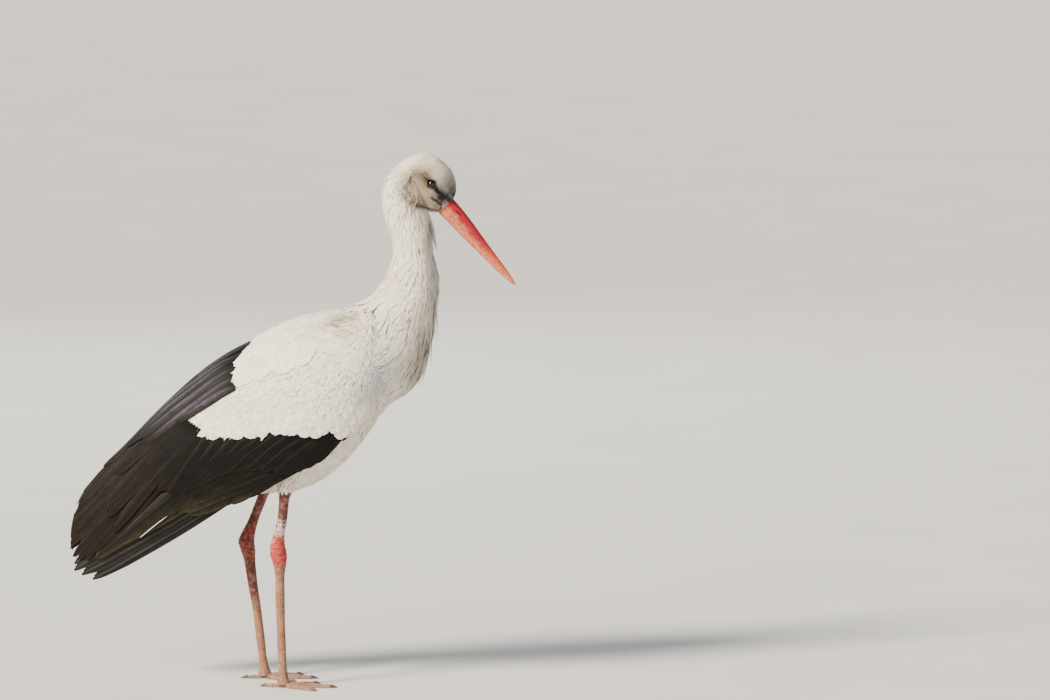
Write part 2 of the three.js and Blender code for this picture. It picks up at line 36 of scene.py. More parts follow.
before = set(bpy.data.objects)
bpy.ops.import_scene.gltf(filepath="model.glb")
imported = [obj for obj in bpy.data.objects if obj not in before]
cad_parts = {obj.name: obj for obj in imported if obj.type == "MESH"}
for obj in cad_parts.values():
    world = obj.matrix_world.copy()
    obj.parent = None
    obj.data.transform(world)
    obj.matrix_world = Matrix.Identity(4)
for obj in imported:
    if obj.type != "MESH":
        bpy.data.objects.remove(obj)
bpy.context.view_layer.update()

MM = 0.001
SIDES = {"right": 1, "left": -1}  # +1 is the bird's right, which lies towards -Y


# ---------------------------------------------------------------------------------------------
# Curves through stations
# ---------------------------------------------------------------------------------------------
def through(stations, at):
    """Values at `at` on smooth curves through rows [knot, value, ...].

    Between two knots each value is a cubic whose slopes at the knots are the neighbouring rises,
    weighed by the lengths of the spans beside the knot.
    """
    rows = np.asarray(stations, float)
    knots, values = rows[:, 0], rows[:, 1:]
    span = np.diff(knots)[:, None]
    rise = np.diff(values, axis=0) / span
    slope = np.concatenate([
        rise[:1],
        (rise[:-1] * span[1:] + rise[1:] * span[:-1]) / (span[1:] + span[:-1]),
        rise[-1:],
    ])
    at = np.clip(np.asarray(at, float), knots[0], knots[-1])
    i = np.clip(np.searchsorted(knots, at, side="right") - 1, 0, len(knots) - 2)
    u = ((at - knots[i]) / span[i, 0])[..., None]
    turned = (3 * u**2 - 2 * u**3) * (values[i + 1] - values[i])
    slopes = (u**3 - 2 * u**2 + u) * slope[i] + (u**3 - u**2) * slope[i + 1]
    return values[i] + turned + span[i] * slopes


def curve(stations, at):
    """The one value of a two-column table at `at`."""
    return through(stations, at)[..., 0]


def by_distance(rows, columns):
    """Rows with the distance along their first columns put in front as the knot."""
    rows = np.asarray(rows, float)
    steps = np.linalg.norm(np.diff(rows[:, :columns], axis=0), axis=1)
    return np.column_stack([np.concatenate([[0], np.cumsum(steps)]), rows])


def ramp(low, high, value):
    """0 below low, 1 above high, with a smooth rise between."""
    t = np.clip((value - low) / (high - low), 0, 1)
    return t * t * (3 - 2 * t)


def ripple(points, size):
    """A soft patchy field from -1 to 1: a sum of five plane waves of about the given size in mm."""
    waves = np.array([[.8, .3, .52], [-.35, .85, .4], [.5, -.62, .6], [.1, .45, -.9], [-.72, -.2, .66]])
    phase = np.array([.4, 1.9, 3.3, 4.6, 5.5])
    return np.sin(points @ waves.T * (2 * np.pi / size) * [1, 1.27, .81, 1.6, .66] + phase).mean(-1) * 1.6


# ---------------------------------------------------------------------------------------------
# Surfaces of the bird, in millimetres: a place is two parameters and a height out from the surface
# ---------------------------------------------------------------------------------------------
# Trunk and neck: [x and z on the back, x and z on the belly or throat, half width]
BODY = np.array([
    [-158, 339, -154, 333, 6], [-157, 371, -123, 321, 30], [-149, 419, -75, 309, 56],
    [-128, 470, -22, 310, 82], [-94, 524, 22, 318, 98], [-44, 562, 66, 343, 104],
    [1, 587, 110, 388, 103], [46, 598, 153, 449, 97], [84, 604, 192, 477, 86],
    [108, 613, 212, 510, 72], [128, 626, 224, 558, 58], [144, 644, 232.5, 607, 48],
    [154, 664, 236, 650, 39], [163, 690, 228, 688, 33.5], [160.5, 722, 224, 719, 30.5],
    [151, 750, 222, 746, 29.5], [145.5, 776, 221, 775, 29.5], [149, 804, 225, 798, 29],
    [162, 828, 222, 816, 25], [184, 845, 214, 834, 15], [200, 850, 206, 846, 3],
])
BODY_LINE = by_distance(np.column_stack([
    (BODY[:, 0] + BODY[:, 2]) / 2, (BODY[:, 1] + BODY[:, 3]) / 2,
    (BODY[:, 0] - BODY[:, 2]) / 2, (BODY[:, 1] - BODY[:, 3]) / 2, BODY[:, 4],
]), 2)
BODY_LENGTH = BODY_LINE[-1, 0]

# Head and bill: [along the bill's line, centre above it, half depth, half width]
HEAD_X, HEAD_Z, BILL_DOWN = 225.4, 807, np.radians(49)
HEAD = [
    [-58, -15, 3, 3], [-54, -12, 13, 12], [-47, -8, 26, 21.5], [-30, -3, 34, 27],
    [-10, -1, 36.5, 28.5], [8, -1, 36.5, 27.5], [20, -3, 34, 24], [30, -5, 30, 20],
    [38, -6.5, 23, 15.5], [43, -7, 15, 11], [46, -7, 8, 7],
]
BILL = [
    [30, -8, 16.2, 12], [45, -7.6, 16.2, 11.6], [70, -7.1, 15.2, 10.6], [92, -7.2, 13.9, 9.4],
    [115, -7.4, 11.9, 8], [140, -7.7, 9.8, 6.6], [165, -7.8, 7.9, 5.2], [185, -7.7, 6, 3.8],
    [200, -7.4, 3.9, 2.6], [209, -7.3, 1.6, 1.2], [211, -7.2, 0.7, 0.7],
]
MOUTH = [[30, -12], [45, -11.6], [211, -7.4]]
NOSTRIL = (64, 0.8)
EYE_ALONG, EYE_ABOVE, EYE_OUT, EYE_RADIUS = 0.3, -0.3, 20.5, 8.0
DISH_RADIUS, DISH_FLOOR = 20, 25.2

# The folded wings' shell, in axes that start at the shoulder: s to the rear, d up from it
TILT = np.radians(34)
SHOULDER_X, SHOULDER_Z = 150, 522.5
SHELL_TOP = [
    [-30, 104], [0, 104], [38, 120], [98, 140], [160, 147], [233, 150], [335, 137], [425, 118],
    [493, 105], [542, 86], [577, 54], [599, 21], [608, 3],
]
SHELL_LOW = [
    [-30, 28], [-18, 18], [0, -6], [40, -33], [87, -56], [153, -69], [212, -71], [250, -68],
    [293, -65], [322, -55], [394, -49], [469, -46], [545, -42], [592, -35], [608, -30],
]
SHELL_HALF = [
    [-30, 66], [-10, 80], [20, 96], [60, 106], [110, 110], [165, 107], [220, 97], [290, 81],
    [360, 66], [430, 53], [500, 42], [560, 32], [608, 26],
]
SHELL_TURN = np.radians(122)
SHEET_FRONT = [[0, 70], [.2, 0], [.45, -28], [.75, -26], [1, -8]]
SHEET_TOP = [[-30, .27], [60, .25], [110, .18], [160, .08], [195, 0], [608, 0]]
SHEET_LOW = [[322, -55], [360, -32], [428, 1], [545, -3], [608, -8]]
TAIL = [
    [262, 12, 34, 44], [310, 8, 26, 44], [360, 4, 16, 42], [420, -1, 8, 39], [480, -5, 4.5, 36],
    [500, -6, 3.2, 33], [508, -6.5, 1.5, 24],
]
# Outline of the white coverts on the closed wing, [x, z]
COVERT_LINE = np.array([
    [-30, 640], [-66, 556], [-84, 530], [-109, 493], [-145, 462], [-171, 432], [-156, 414],
    [-122, 403], [-65, 407], [-28, 414], [10, 412], [40, 412], [59, 423], [78, 406], [101, 418],
    [119.5, 446], [128, 466], [160, 440], [210, 440], [210, 640],
])

# Legs: [x, y outwards, z, half length, half width] from the thigh to the ball of the foot
LEGS = {
    "right": [
        [28, 54, 398, 24, 16], [17, 54, 372, 32, 24], [4, 52, 344, 25, 21], [-7, 49.5, 322, 15, 14],
        [-10, 48, 309, 9.4, 9], [-12, 47.5, 290, 8, 7.4], [-14.5, 47, 268, 8, 7.2],
        [-18.5, 46.5, 250, 8.6, 7.8], [-21.5, 46, 232, 11.6, 9.8], [-20, 46, 213, 13.4, 11.2],
        [-18.6, 46, 200, 10.8, 9.6], [-18.4, 46, 184, 8, 7], [-18, 46, 145, 7.2, 6],
        [-17, 46, 100, 6.6, 5.8], [-15.5, 46, 55, 6.8, 6], [-14.5, 46, 30, 7, 6.4],
        [-13.6, 46, 14, 9, 8.6], [-13, 46, 5, 12, 11],
    ],
    "left": [
        [-6, 54, 388, 24, 16], [-16, 54, 362, 32, 24], [-32, 52, 334, 25, 21], [-44, 49.5, 312, 15, 14],
        [-48, 48, 300, 9.4, 9], [-55, 47.5, 282, 8.4, 7.6], [-66, 47, 254, 8.8, 7.4],
        [-73, 46.5, 236, 11.4, 9], [-76, 46, 224, 13, 11], [-73.5, 46, 210, 12, 10.8],
        [-71.2, 46, 196, 9.6, 9.2], [-69, 46, 178, 8.2, 7], [-66.5, 46, 158, 7.6, 6.2],
        [-59.5, 46, 113, 6.6, 5.8], [-54.2, 46, 68, 6.8, 6], [-49.5, 46, 28, 7, 6.4],
        [-47.6, 46, 14, 9, 8.6], [-46.6, 46, 5, 12, 11],
    ],
}
FEET = {"right": (-12.5, 46, -4), "left": (-46, 46, 5)}  # x, y outwards, heading in degrees
TOES = {  # turn from straight ahead to the inside, length, thickness at the root and at the tip
    "middle": (0, 76, 6.6, 4.2), "inner": (33, 56, 6.2, 4), "outer": (-33, 59, 6.2, 4),
    "hind": (172, 30, 5.4, 3.8),
}


def ring_point(up_radius, side_radius, angle, height):
    """Up and sideways parts of a point at an angle on an ellipse, moved out along its normal."""
    cosine, sine = np.cos(angle), np.sin(angle)
    n_up, n_side = cosine / up_radius, sine / side_radius
    length = np.hypot(n_up, n_side)
    return up_radius * cosine + height * n_up / length, side_radius * sine + height * n_side / length


def on_body(k, a, h):
    """Trunk and neck: k mm along the middle line from the rump, a the turn from the back to the right."""
    x, z, back_x, back_z, half = np.moveaxis(through(BODY_LINE, k), -1, 0)
    depth = np.hypot(back_x, back_z)
    up, out = ring_point(depth, half, a, h)
    return np.stack([x + up * back_x / depth, -out, z + up * back_z / depth], -1)


def head_place(along, above, out):
    """A point in the head's axes: along the bill's line, above it and to the right."""
    c, s = np.cos(BILL_DOWN), np.sin(BILL_DOWN)
    return np.stack([HEAD_X + along * c + above * s, -out + 0 * along, HEAD_Z - along * s + above * c], -1)


def head_axes(points):
    """Along the bill's line, above it and to the right, for points of the frame."""
    c, s = np.cos(BILL_DOWN), np.sin(BILL_DOWN)
    dx, dz = points[..., 0] - HEAD_X, points[..., 2] - HEAD_Z
    return dx * c - dz * s, dx * s + dz * c, -points[..., 1]


def on_head(t, a, h):
    """Head: t mm along the bill's line, a the turn from the crown to the right, hollowed at the eyes."""
    above, depth, half = np.moveaxis(through(HEAD, t), -1, 0)
    up, out = ring_point(depth, half, a, h)
    up = above + up
    near = np.minimum(np.hypot(t - EYE_ALONG, up - EYE_ABOVE), 17)
    floor = DISH_FLOOR + DISH_RADIUS - np.sqrt(DISH_RADIUS**2 - near**2) + h
    gap = np.abs(out) - floor
    out = np.sign(out) * (np.abs(out) - 0.5 * (gap + np.sqrt(gap**2 + 1.2)) * ramp(17, 12, near))
    return head_place(t, up, out)


def body_place(s, d, out):
    c, w = np.cos(TILT), np.sin(TILT)
    return np.stack([SHOULDER_X - s * c - d * w, -out + 0 * s, SHOULDER_Z - s * w + d * c], -1)


def body_axes(x, z):
    """s and d of a place in the side view."""
    c, w = np.cos(TILT), np.sin(TILT)
    return (SHOULDER_X - x) * c - (z - SHOULDER_Z) * w, (SHOULDER_X - x) * w + (z - SHOULDER_Z) * c


def shell_depth(s):
    return (curve(SHELL_TOP, s) - curve(SHELL_LOW, s)) / (1 - np.cos(SHELL_TURN))


def on_shell(s, v, h):
    """Folded wings' shell: s to the rear, v the turn from the top line (0) to the lower edge (1)."""
    depth, half = shell_depth(s), curve(SHELL_HALF, s)
    up, out = ring_point(depth, half, v * SHELL_TURN, h)
    return body_place(s, curve(SHELL_TOP, s) - depth + up, out)


def turn_at(s, d):
    """The turn v at which the shell has the height d."""
    cosine = 1 - (curve(SHELL_TOP, s) - d) / shell_depth(s)
    return np.minimum(np.arccos(np.clip(cosine, -1, 1)) / SHELL_TURN, 1.02)


def mirrored(carrier, side):
    """The same surface for the other side of the bird when side is -1."""
    def place(p, q, h):
        points = carrier(p, q, h)
        points[..., 1] *= side
        return points
    return place


def metric(carrier, p, q):
    """Millimetres per unit of p and of q."""
    step = 1e-3
    here = carrier(p, q, 0 * p)
    along = np.linalg.norm(carrier(p + step, q, 0 * p) - here, axis=-1) / step
    across = np.linalg.norm(carrier(p, q + step, 0 * p) - here, axis=-1) / step
    return np.maximum(along, .2), np.maximum(across, .5)


# ---------------------------------------------------------------------------------------------
# Markings, shared by skin and feathers
# ---------------------------------------------------------------------------------------------
def mixed(base, colour, share):
    return base + (np.asarray(colour) - base) * np.clip(share, 0, 1)[..., None]


def blob(u, w, centre, radii, turn=0.0):
    """1 at the centre of an ellipse in a plane, falling softly to 0 round it."""
    c, s = np.cos(turn), np.sin(turn)
    du, dw = u - centre[0], w - centre[1]
    return np.exp(-((du * c + dw * s) / radii[0])**2 - ((dw * c - du * s) / radii[1])**2)


def line_distance(u, w, corners):
    """Distance from points of a plane to a chain of straight pieces."""
    best = np.full(np.shape(u), 1e9)
    for (u0, w0), (u1, w1) in zip(corners[:-1], corners[1:]):
        du, dw = u1 - u0, w1 - w0
        t = np.clip(((u - u0) * du + (w - w0) * dw) / (du**2 + dw**2), 0, 1)
        best = np.minimum(best, np.hypot(u - u0 - t * du, w - w0 - t * dw))
    return best


# The chin line: bare black chin skin together with painted shadow under the lower edge of the cheek feathers
CHIN_SKIN_AND_SHADOW_LINE = [(10, -40), (17.9, -36.3), (25.5, -32.4), (38.4, -23), (41, -17), (35.5, -11.5), (27.6, -12.5),
             (17.5, -14.8)]
CHEEK_RIM = [(-19, 1), (-23, -6), (-28, -14), (-27, -25), (-22, -36), (-12, -42), (0, -42), (12, -40)]


def bare_face(along, above):
    """How far a place lies in the black skin that runs from behind the eye to the bill."""
    reach = curve([[-16, .4], [-9, 2.4], [0, 8.2], [8, 5.2], [18, 3.4], [30, 3.6], [46, 4]], along)
    line = curve([[-16, -1.8], [-6, -.8], [0, -.3], [20, -.4], [31, 2.5], [46, 4]], along)
    return ramp(1.6, .55, np.abs(above - line) / reach) * ramp(-17, -12, along)


def plumage_colour(points, white):
    """White plumage with the grey of the face, the cheek's brown edge and the stains of the mantle, and painted shade
    along the chin line, on the front of the neck, on the breast hackles and on the side of the breast.
    """
    along, above, _ = head_axes(points)
    x, z = points[..., 0], points[..., 2]
    tint = np.broadcast_to(white, points.shape).astype(float)
    tint = mixed(tint, (.60, .55, .47), .30 * ripple(points, 70) + .18 * ripple(points, 23))
    face = ramp(745, 772, z)
    tint = mixed(tint, (.27, .24, .225), face * (.72 + .32 * ripple(points, 7)) * blob(along, above, (19, 22), (19, 15)))
    tint = mixed(tint, (.36, .24, .10), face * .84 * blob(along, above, (-2, -14), (30, 25)))
    rim = line_distance(along, above, CHEEK_RIM) + 2.2 * ripple(points, 13)
    tint = mixed(tint, (.17, .115, .06), face * (.80 + .3 * ripple(points, 8)) * np.exp(-(np.maximum(rim, 0) / 13)**2))
    tint = mixed(tint, (.11, .07, .035), face * .75 * blob(along, above, (-20, -2), (9, 5)))
    lores = 1.25 * blob(along, above, (29, -5), (12, 8)) * (.95 + .35 * ripple(points, 5))
    tint = mixed(tint, (.02, .016, .014), face * lores)
    tint = mixed(tint, (.62, .55, .42), face * .5 * blob(along, above, (4, 10), (8, 4)))
    tint = mixed(tint, (.035, .030, .030), face * 1.15 * blob(along, above, (35, 15), (14, 11)) * (.95 + .3 * ripple(points, 9)))
    tint = mixed(tint, (.22, .155, .06), face * .8 * blob(along, above, (33, -19), (8, 6)))
    # black chin skin and painted shadow: a black line under the cheek feathers
    tint = mixed(tint, (.010, .008, .006), face * ramp(3.6, .6, line_distance(along, above, CHIN_SKIN_AND_SHADOW_LINE) + 1.1 * ripple(points, 6)))
    tint = mixed(tint, (.008, .006, .006), face * np.maximum(bare_face(along, above), .85 * blob(along, above, (22, 2), (16, 6))))
    s, d = body_axes(x, z)
    stain = blob(s, d, (16, 90), (30, 15), .2) * (.55 + .6 * ripple(points * [.5, 1, 1.6], 12))
    tint = mixed(tint, (.17, .105, .045), .95 * stain)
    tint = mixed(tint, (.40, .33, .25), .5 * blob(s, d, (52, 108), (34, 7)) * (.6 + .6 * ripple(points, 11)))
    # painted shade: a cool grey over the front of the neck, which lies in shadow
    front = ramp(205, 232, x) * ramp(560, 620, z) * ramp(760, 730, z)
    tint = mixed(tint, (.30, .31, .34), .60 * front * (.9 + .25 * ripple(points * [1, 1, .25], 9)))
    # painted shade: the mask of the hanging breast hackles below the neck
    painted_breast_shade = ramp(190, 226, x + .35 * (560 - z)) * ramp(630, 550, z) * ramp(420, 520, z)
    tint = mixed(tint, (.42, .32, .20), .5 * blob(x, z, (160, 650), (20, 22)) * (.6 + .6 * ripple(points, 9)))
    # painted shade: the breast hackles made darker grey-brown
    tint = mixed(tint, (.16, .137, .102), .76 * painted_breast_shade * (.85 + .3 * ripple(points * [1, 1, .25], 7)
                 + .25 * ripple(points, 31)))
    # painted shade: a bluish grey on the side of the breast in front of the wing
    tint = mixed(tint, (.46, .50, .58), .55 * blob(x, z, (140, 500), (26, 46), -.3))
    return tint


def leg_colour(points):
    """Dark red and salmon legs, the near one with its bright joint and dried white streaks; the far one has painted
    shade, with its joint kept nearly dark and its dark red reaching lower.
    """
    near = points[..., 1] < 0
    z = points[..., 2]
    patch = ripple(points, 26)
    fine = ripple(points, 7)
    tint = np.broadcast_to((.115, .014, .010), points.shape).astype(float)
    joint = ramp(262, 246, z + 5 * patch) * ramp(188, 200, z)
    # painted shade: the far leg's bright joint kept at about a fifth of its strength
    tint = mixed(tint, (.50, .014, .007), np.where(near, joint, .22 * joint))
    # painted shade: the far leg stays dark red further down and gets less of the salmon
    low = np.where(near, ramp(205, 190, z + 3 * patch), ramp(150, 96, z + 8 * patch))
    tint = mixed(tint, (.29, .118, .052), low)
    tint = mixed(tint, (.38, .24, .125), np.where(near, .55, .2) * low * ramp(-.1, .7, patch))
    streak = ramp(234, 246, z + 6 * patch) * ramp(278, 260, z + 7 * fine) * ramp(-.5, .3, fine + .5 * patch + .15)
    tint = mixed(tint, (.78, .66, .60), np.where(near, streak * .92, 0))
    tint = mixed(tint, (.06, .008, .006), .6 * ramp(.35, 1.0, fine - .4 * patch) * (1 - low))
    return mixed(tint, (.27, .16, .11), ramp(18, 4, z) * .55)


def skin_colour(points, white):
    """Pale skin and down under the feathers, black bare face, red legs."""
    along, above, _ = head_axes(points)
    tint = plumage_colour(points, np.asarray(white) * .82)
    tint = mixed(tint, leg_colour(points), ramp(336, 316, points[..., 2]))
    return mixed(tint, (.012, .010, .010), ramp(745, 772, points[..., 2]) * bare_face(along, above))


# ---------------------------------------------------------------------------------------------
# Meshes
# ---------------------------------------------------------------------------------------------
def mesh_piece(name, points, faces, material, tint=None, uvs=None):
    """A smooth mesh object from points in mm and arrays of triangles or quads."""
    faces = [np.asarray(part, np.int32).reshape(len(part), -1) for part in faces]
    widths = np.concatenate([np.full(len(part), part.shape[1], np.int32) for part in faces])
    corners = np.concatenate([part.ravel() for part in faces])
    first = points[corners[np.concatenate([[0], np.cumsum(widths)[:-1]])]]
    second = points[corners[np.concatenate([[0], np.cumsum(widths)[:-1]]) + 1]]
    third = points[corners[np.concatenate([[0], np.cumsum(widths)[:-1]]) + 2]]
    if np.einsum("ij,ij->", first - points.mean(0), np.cross(second - points.mean(0), third - points.mean(0))) < 0:
        faces = [part[:, ::-1] for part in faces]
        corners = np.concatenate([part.ravel() for part in faces])
    mesh = bpy.data.meshes.new(name)
    mesh.vertices.add(len(points))
    mesh.vertices.foreach_set("co", (points * MM).astype(np.float32).ravel())
    mesh.loops.add(len(corners))
    mesh.loops.foreach_set("vertex_index", corners)
    mesh.polygons.add(len(widths))
    mesh.polygons.foreach_set("loop_start", np.concatenate([[0], np.cumsum(widths)[:-1]]).astype(np.int32))
    mesh.update(calc_edges=True)
    for key, uv in (uvs or {}).items():
        layer = mesh.uv_layers.new(name=key)
        layer.data.foreach_set("uv", uv.reshape(-1, 2)[corners].astype(np.float32).ravel())
    if tint is not None:
        rgba = np.concatenate([tint.reshape(-1, 3), np.ones((len(points), 1))], 1)
        mesh.color_attributes.new("Tint", "FLOAT_COLOR", "POINT").data.foreach_set("color", rgba.ravel())
    mesh.shade_smooth()
    mesh.materials.append(material)
    piece = bpy.data.objects.new(name, mesh)
    bpy.context.scene.collection.objects.link(piece)
    return piece


def tube_faces(rings, sides):
    """Quads round a tube of rings and a fan of triangles at each end, to two points after the rings."""
    i, j = np.meshgrid(np.arange(rings - 1), np.arange(sides), indexing="ij")
    a, b = i * sides + j, i * sides + (j + 1) % sides
    walls = np.stack([a, b, b + sides, a + sides], -1).reshape(-1, 4)
    j = np.arange(sides)
    end = (rings - 1) * sides
    tip = rings * sides
    fans = np.concatenate([
        np.stack([np.full(sides, tip), (j + 1) % sides, j], -1),
        np.stack([np.full(sides, tip + 1), end + j, end + (j + 1) % sides], -1),
    ])
    return [walls, fans]


def tube_piece(name, grid, material, tint=None):
    """A closed tube from a grid of points (rings, round), its ends closed by a point each."""
    points = np.concatenate([grid.reshape(-1, 3), grid[0].mean(0)[None], grid[-1].mean(0)[None]])
    colours = None if tint is None else tint(points)
    rings, sides = grid.shape[:2]
    i, j = np.meshgrid(np.linspace(0, 1, rings), np.linspace(0, 1, sides), indexing="ij")
    uv = np.concatenate([np.stack([j, i], -1).reshape(-1, 2), [[.5, 0], [.5, 1]]])
    return mesh_piece(name, points, tube_faces(rings, sides), material, colours, {"Round": uv})


BLADES = {  # across, height: closed sections of a feather, up its outer face and back under it
    "tuft": [(-1, 0), (0, 1), (1, 0), (0, -1)],
    "soft": [(-1, 0), (-.5, .8), (.5, .8), (1, 0), (.5, -.8), (-.5, -.8)],
    "quill": [(-1, 0), (-.7, .7), (-.3, .8), (-.05, 1), (.05, 1), (.3, .8), (.7, .7), (1, 0),
              (.6, -.7), (.2, -.8), (-.2, -.8), (-.6, -.7)],
}


def feathers(carrier, p, q, half, lift, thick, section="tuft", camber=0.0, tilt=0.0):
    """Closed thin blades carried along paths (p, q) of a surface.

    Each path's direction, measured in mm, gives the blade its line; its section is laid across
    that line, half wide to each side and thick high, at the height lift above the surface.
    Camber lowers the edges and tilt turns one edge up. Returns points (n, k, r, 3), faces and
    the places across and along each blade.
    """
    across, high = np.array(BLADES[section]).T
    gp, gq = metric(carrier, p, q)
    tp, tq = np.gradient(p, axis=1) * gp, np.gradient(q, axis=1) * gq
    length = np.maximum(np.hypot(tp, tq), 1e-6)
    tp, tq = tp / length, tq / length
    wide = half[..., None] * across
    height = lift[..., None] + thick[..., None] * high
    height = height - camber * half[..., None] * across**2 + tilt * half[..., None] * across
    points = carrier(
        p[..., None] - wide * (tq / gp)[..., None],
        q[..., None] + wide * (tp / gq)[..., None],
        height,
    )
    n, k, r = points.shape[:3]
    blade, i, j = np.meshgrid(np.arange(n) * k * r, np.arange(k - 1) * r, np.arange(r), indexing="ij")
    a, b = blade + i + j, blade + i + (j + 1) % r
    walls = np.stack([a, b, b + r, a + r], -1).reshape(-1, 4)
    m = np.arange(r // 2 - 1)
    cap = np.stack([m, m + 1, r - 2 - m, r - 1 - m], -1)
    roots = (np.arange(n) * k * r)[:, None, None]
    caps = np.concatenate([
        (roots + cap[:, ::-1]).reshape(-1, 4), (roots + (k - 1) * r + cap).reshape(-1, 4)])
    u = np.broadcast_to((across + 1) / 2, (n, k, r))
    v = np.broadcast_to(np.linspace(0, 1, k)[:, None], (n, k, r))
    return points, np.concatenate([walls, caps]), u, v


def unwrapped(p, q, u, v, spans, patch=.003):
    """A small patch for each blade at its root's place on the flat unwrap of the surface under it."""
    (p0, p1), (q0, q1) = spans
    root = np.stack([(p[:, 0] - p0) / (p1 - p0), (q[:, 0] - q0) / (q1 - q0)], -1) * .96 + .02
    return np.clip(root, .004, .996)[:, None, None] + (np.stack([u, v], -1) - .5) * patch


def strips(n, u, v, columns):
    """A strip of its own on the unwrap for each big feather."""
    rows = -(-n // columns)
    i = np.arange(n)
    corner = np.stack([i % columns / columns, i // columns / rows], -1)[:, None, None]
    return corner + np.stack([.1 + .8 * u, .04 + .92 * v], -1) / [columns, rows]


def joined(parts):
    """Several lots of blades as one: points, faces, tint, and the two maps."""
    points, faces, tints, vanes, bakes, start = [], [], [], [], [], 0
    for part in parts:
        points.append(part["points"].reshape(-1, 3))
        faces.append(part["faces"] + start)
        tints.append(part["tint"].reshape(-1, 3))
        vanes.append(part["vane"].reshape(-1, 2))
        bakes.append(part["bake"].reshape(-1, 2))
        start += len(points[-1])
    return [np.concatenate(part) for part in (points, faces, tints, vanes, bakes)]


def feather_piece(name, parts, material):
    points, faces, tint, vane, bake = joined(parts)
    piece = mesh_piece(name, points, [faces], material, tint, {"OFBake": bake, "Vane": vane})
    piece.data.set_sharp_from_angle(angle=.9)
    return piece


def grow(carrier, p, q, heading, length, count, curl=0.0):
    """Paths from roots (p, q): each goes its length in mm in equal steps, along its heading, which
    turns by curl towards the tip. Heading 0 is along p, a quarter turn is along q."""
    line_p, line_q = [p], [q]
    for i in range(1, count):
        gp, gq = metric(carrier, p, q)
        angle = heading + curl * i / (count - 1)
        p = p + length / (count - 1) * np.cos(angle) / gp
        q = q + length / (count - 1) * np.sin(angle) / gq
        line_p.append(p)
        line_q.append(q)
    return np.stack(line_p, 1), np.stack(line_q, 1)


def scatter(carrier, spans, spacing, seed=0):
    """Even roots on a surface: a low-discrepancy sequence in its two parameters, thinned so that
    each root has about spacing(p, q) squared millimetres of surface."""
    (p0, p1), (q0, q1) = spans
    probe = np.stack(np.meshgrid(np.linspace(p0, p1, 50), np.linspace(q0, q1, 50)), -1).reshape(-1, 2)
    def weight(p, q):
        gp, gq = metric(carrier, p, q)
        return gp * gq / spacing(p, q)**2
    most = weight(probe[:, 0], probe[:, 1]).max()
    i = np.arange(int(most * abs((p1 - p0) * (q1 - q0)))) + 1 + seed * 977
    base = np.array([.8191725134, .6710436067, .5497004779])
    a, b, c = (i[:, None] * base % 1).T
    p, q = p0 + a * (p1 - p0), q0 + b * (q1 - q0)
    kept = c * most < weight(p, q)
    return p[kept], q[kept]


def along_profile(values, k):
    """A row of k values from stations [place 0..1, value]."""
    return curve(values, np.linspace(0, 1, k))


TUFT_WIDTH = [[0, .35], [.25, 1], [.6, .95], [.85, .55], [1, .12]]
ROUND_WIDTH = [[0, .3], [.25, .85], [.6, 1], [.85, .88], [.95, .6], [1, .3]]
QUILL_WIDTH = [[0, .2], [.08, .6], [.3, .95], [.7, 1], [.88, .85], [.96, .55], [1, .16]]


def tuft_lot(carrier, spans, roots, heading, length, half, colour, rng, *, count=5, sunk=4.0, proud=.8,
             thick=.45, section="tuft", curl=.2, camber=.15, width=TUFT_WIDTH, shade=.72, vary=.06,
             flow=.24, clump=.5, lock=34, stray=2.5):
    """One lot of small feathers: their paths, widths, heights and colours."""
    p, q = roots
    n = len(p)
    at = carrier(p, q, 0 * p)
    sway = ripple(at, lock) + .5 * ripple(at[:, [1, 2, 0]], lock * .5)
    heading = heading + flow * sway + rng.normal(0, .06, n)
    length = length * rng.uniform(.8, 1.2, n)
    half = half * rng.uniform(.8, 1.2, n)
    bend = curl * ripple(at[:, [2, 0, 1]], lock * .8) + rng.normal(0, curl * .35, n)
    line_p, line_q = grow(carrier, p, q, heading, length, count, bend)
    rise = np.linspace(0, 1, count)**.8
    ridge = clump * ripple(at[:, [1, 0, 2]], lock * .6)
    loose = 1 + stray * (rng.random(n) > .93)
    lift = -sunk + (sunk + (proud * rng.uniform(.5, 1.5, n) * loose + ridge)[:, None]) * rise
    wide = half[:, None] * along_profile(width, count)
    body = np.broadcast_to(thick * along_profile([[0, 1], [.6, 1], [1, .35]], count), wide.shape)
    points, faces, u, v = feathers(carrier, line_p, line_q, wide, lift, body, section, camber)
    tint = colour(points) * (shade + (1 - shade) * ramp(0, .75, v))[..., None]
    tint = tint * (1 + rng.normal(0, vary, n))[:, None, None, None]
    bake = unwrapped(line_p, line_q, u, v, spans)
    return {"points": points, "faces": faces, "tint": np.clip(tint, 0, 1),
            "vane": np.stack([u, v], -1), "bake": bake}


# ---------------------------------------------------------------------------------------------
# Where one part of the bird lies inside another
# ---------------------------------------------------------------------------------------------
def depth_in_body(points):
    """Level of points in the trunk and neck: 0 on the middle line, 1 on the surface."""
    k = np.linspace(0, BODY_LENGTH, 160)
    x, z, back_x, back_z, half = through(BODY_LINE, k).T
    depth = np.hypot(back_x, back_z)
    up_x, up_z = back_x / depth, back_z / depth
    dx, dz = points[:, 0, None] - x, points[:, 2, None] - z
    along = dx * up_z - dz * up_x
    up = dx * up_x + dz * up_z
    level = np.hypot(up / depth, points[:, 1, None] / half) + (along / 9)**2
    return level.min(1)


def depth_in_head(points):
    along, above, out = head_axes(points)
    centre, depth, half = np.moveaxis(through(HEAD, along), -1, 0)
    level = np.hypot((above - centre) / depth, out / half)
    return np.where((along < HEAD[0][0]) | (along > HEAD[-1][0]), 9, level)


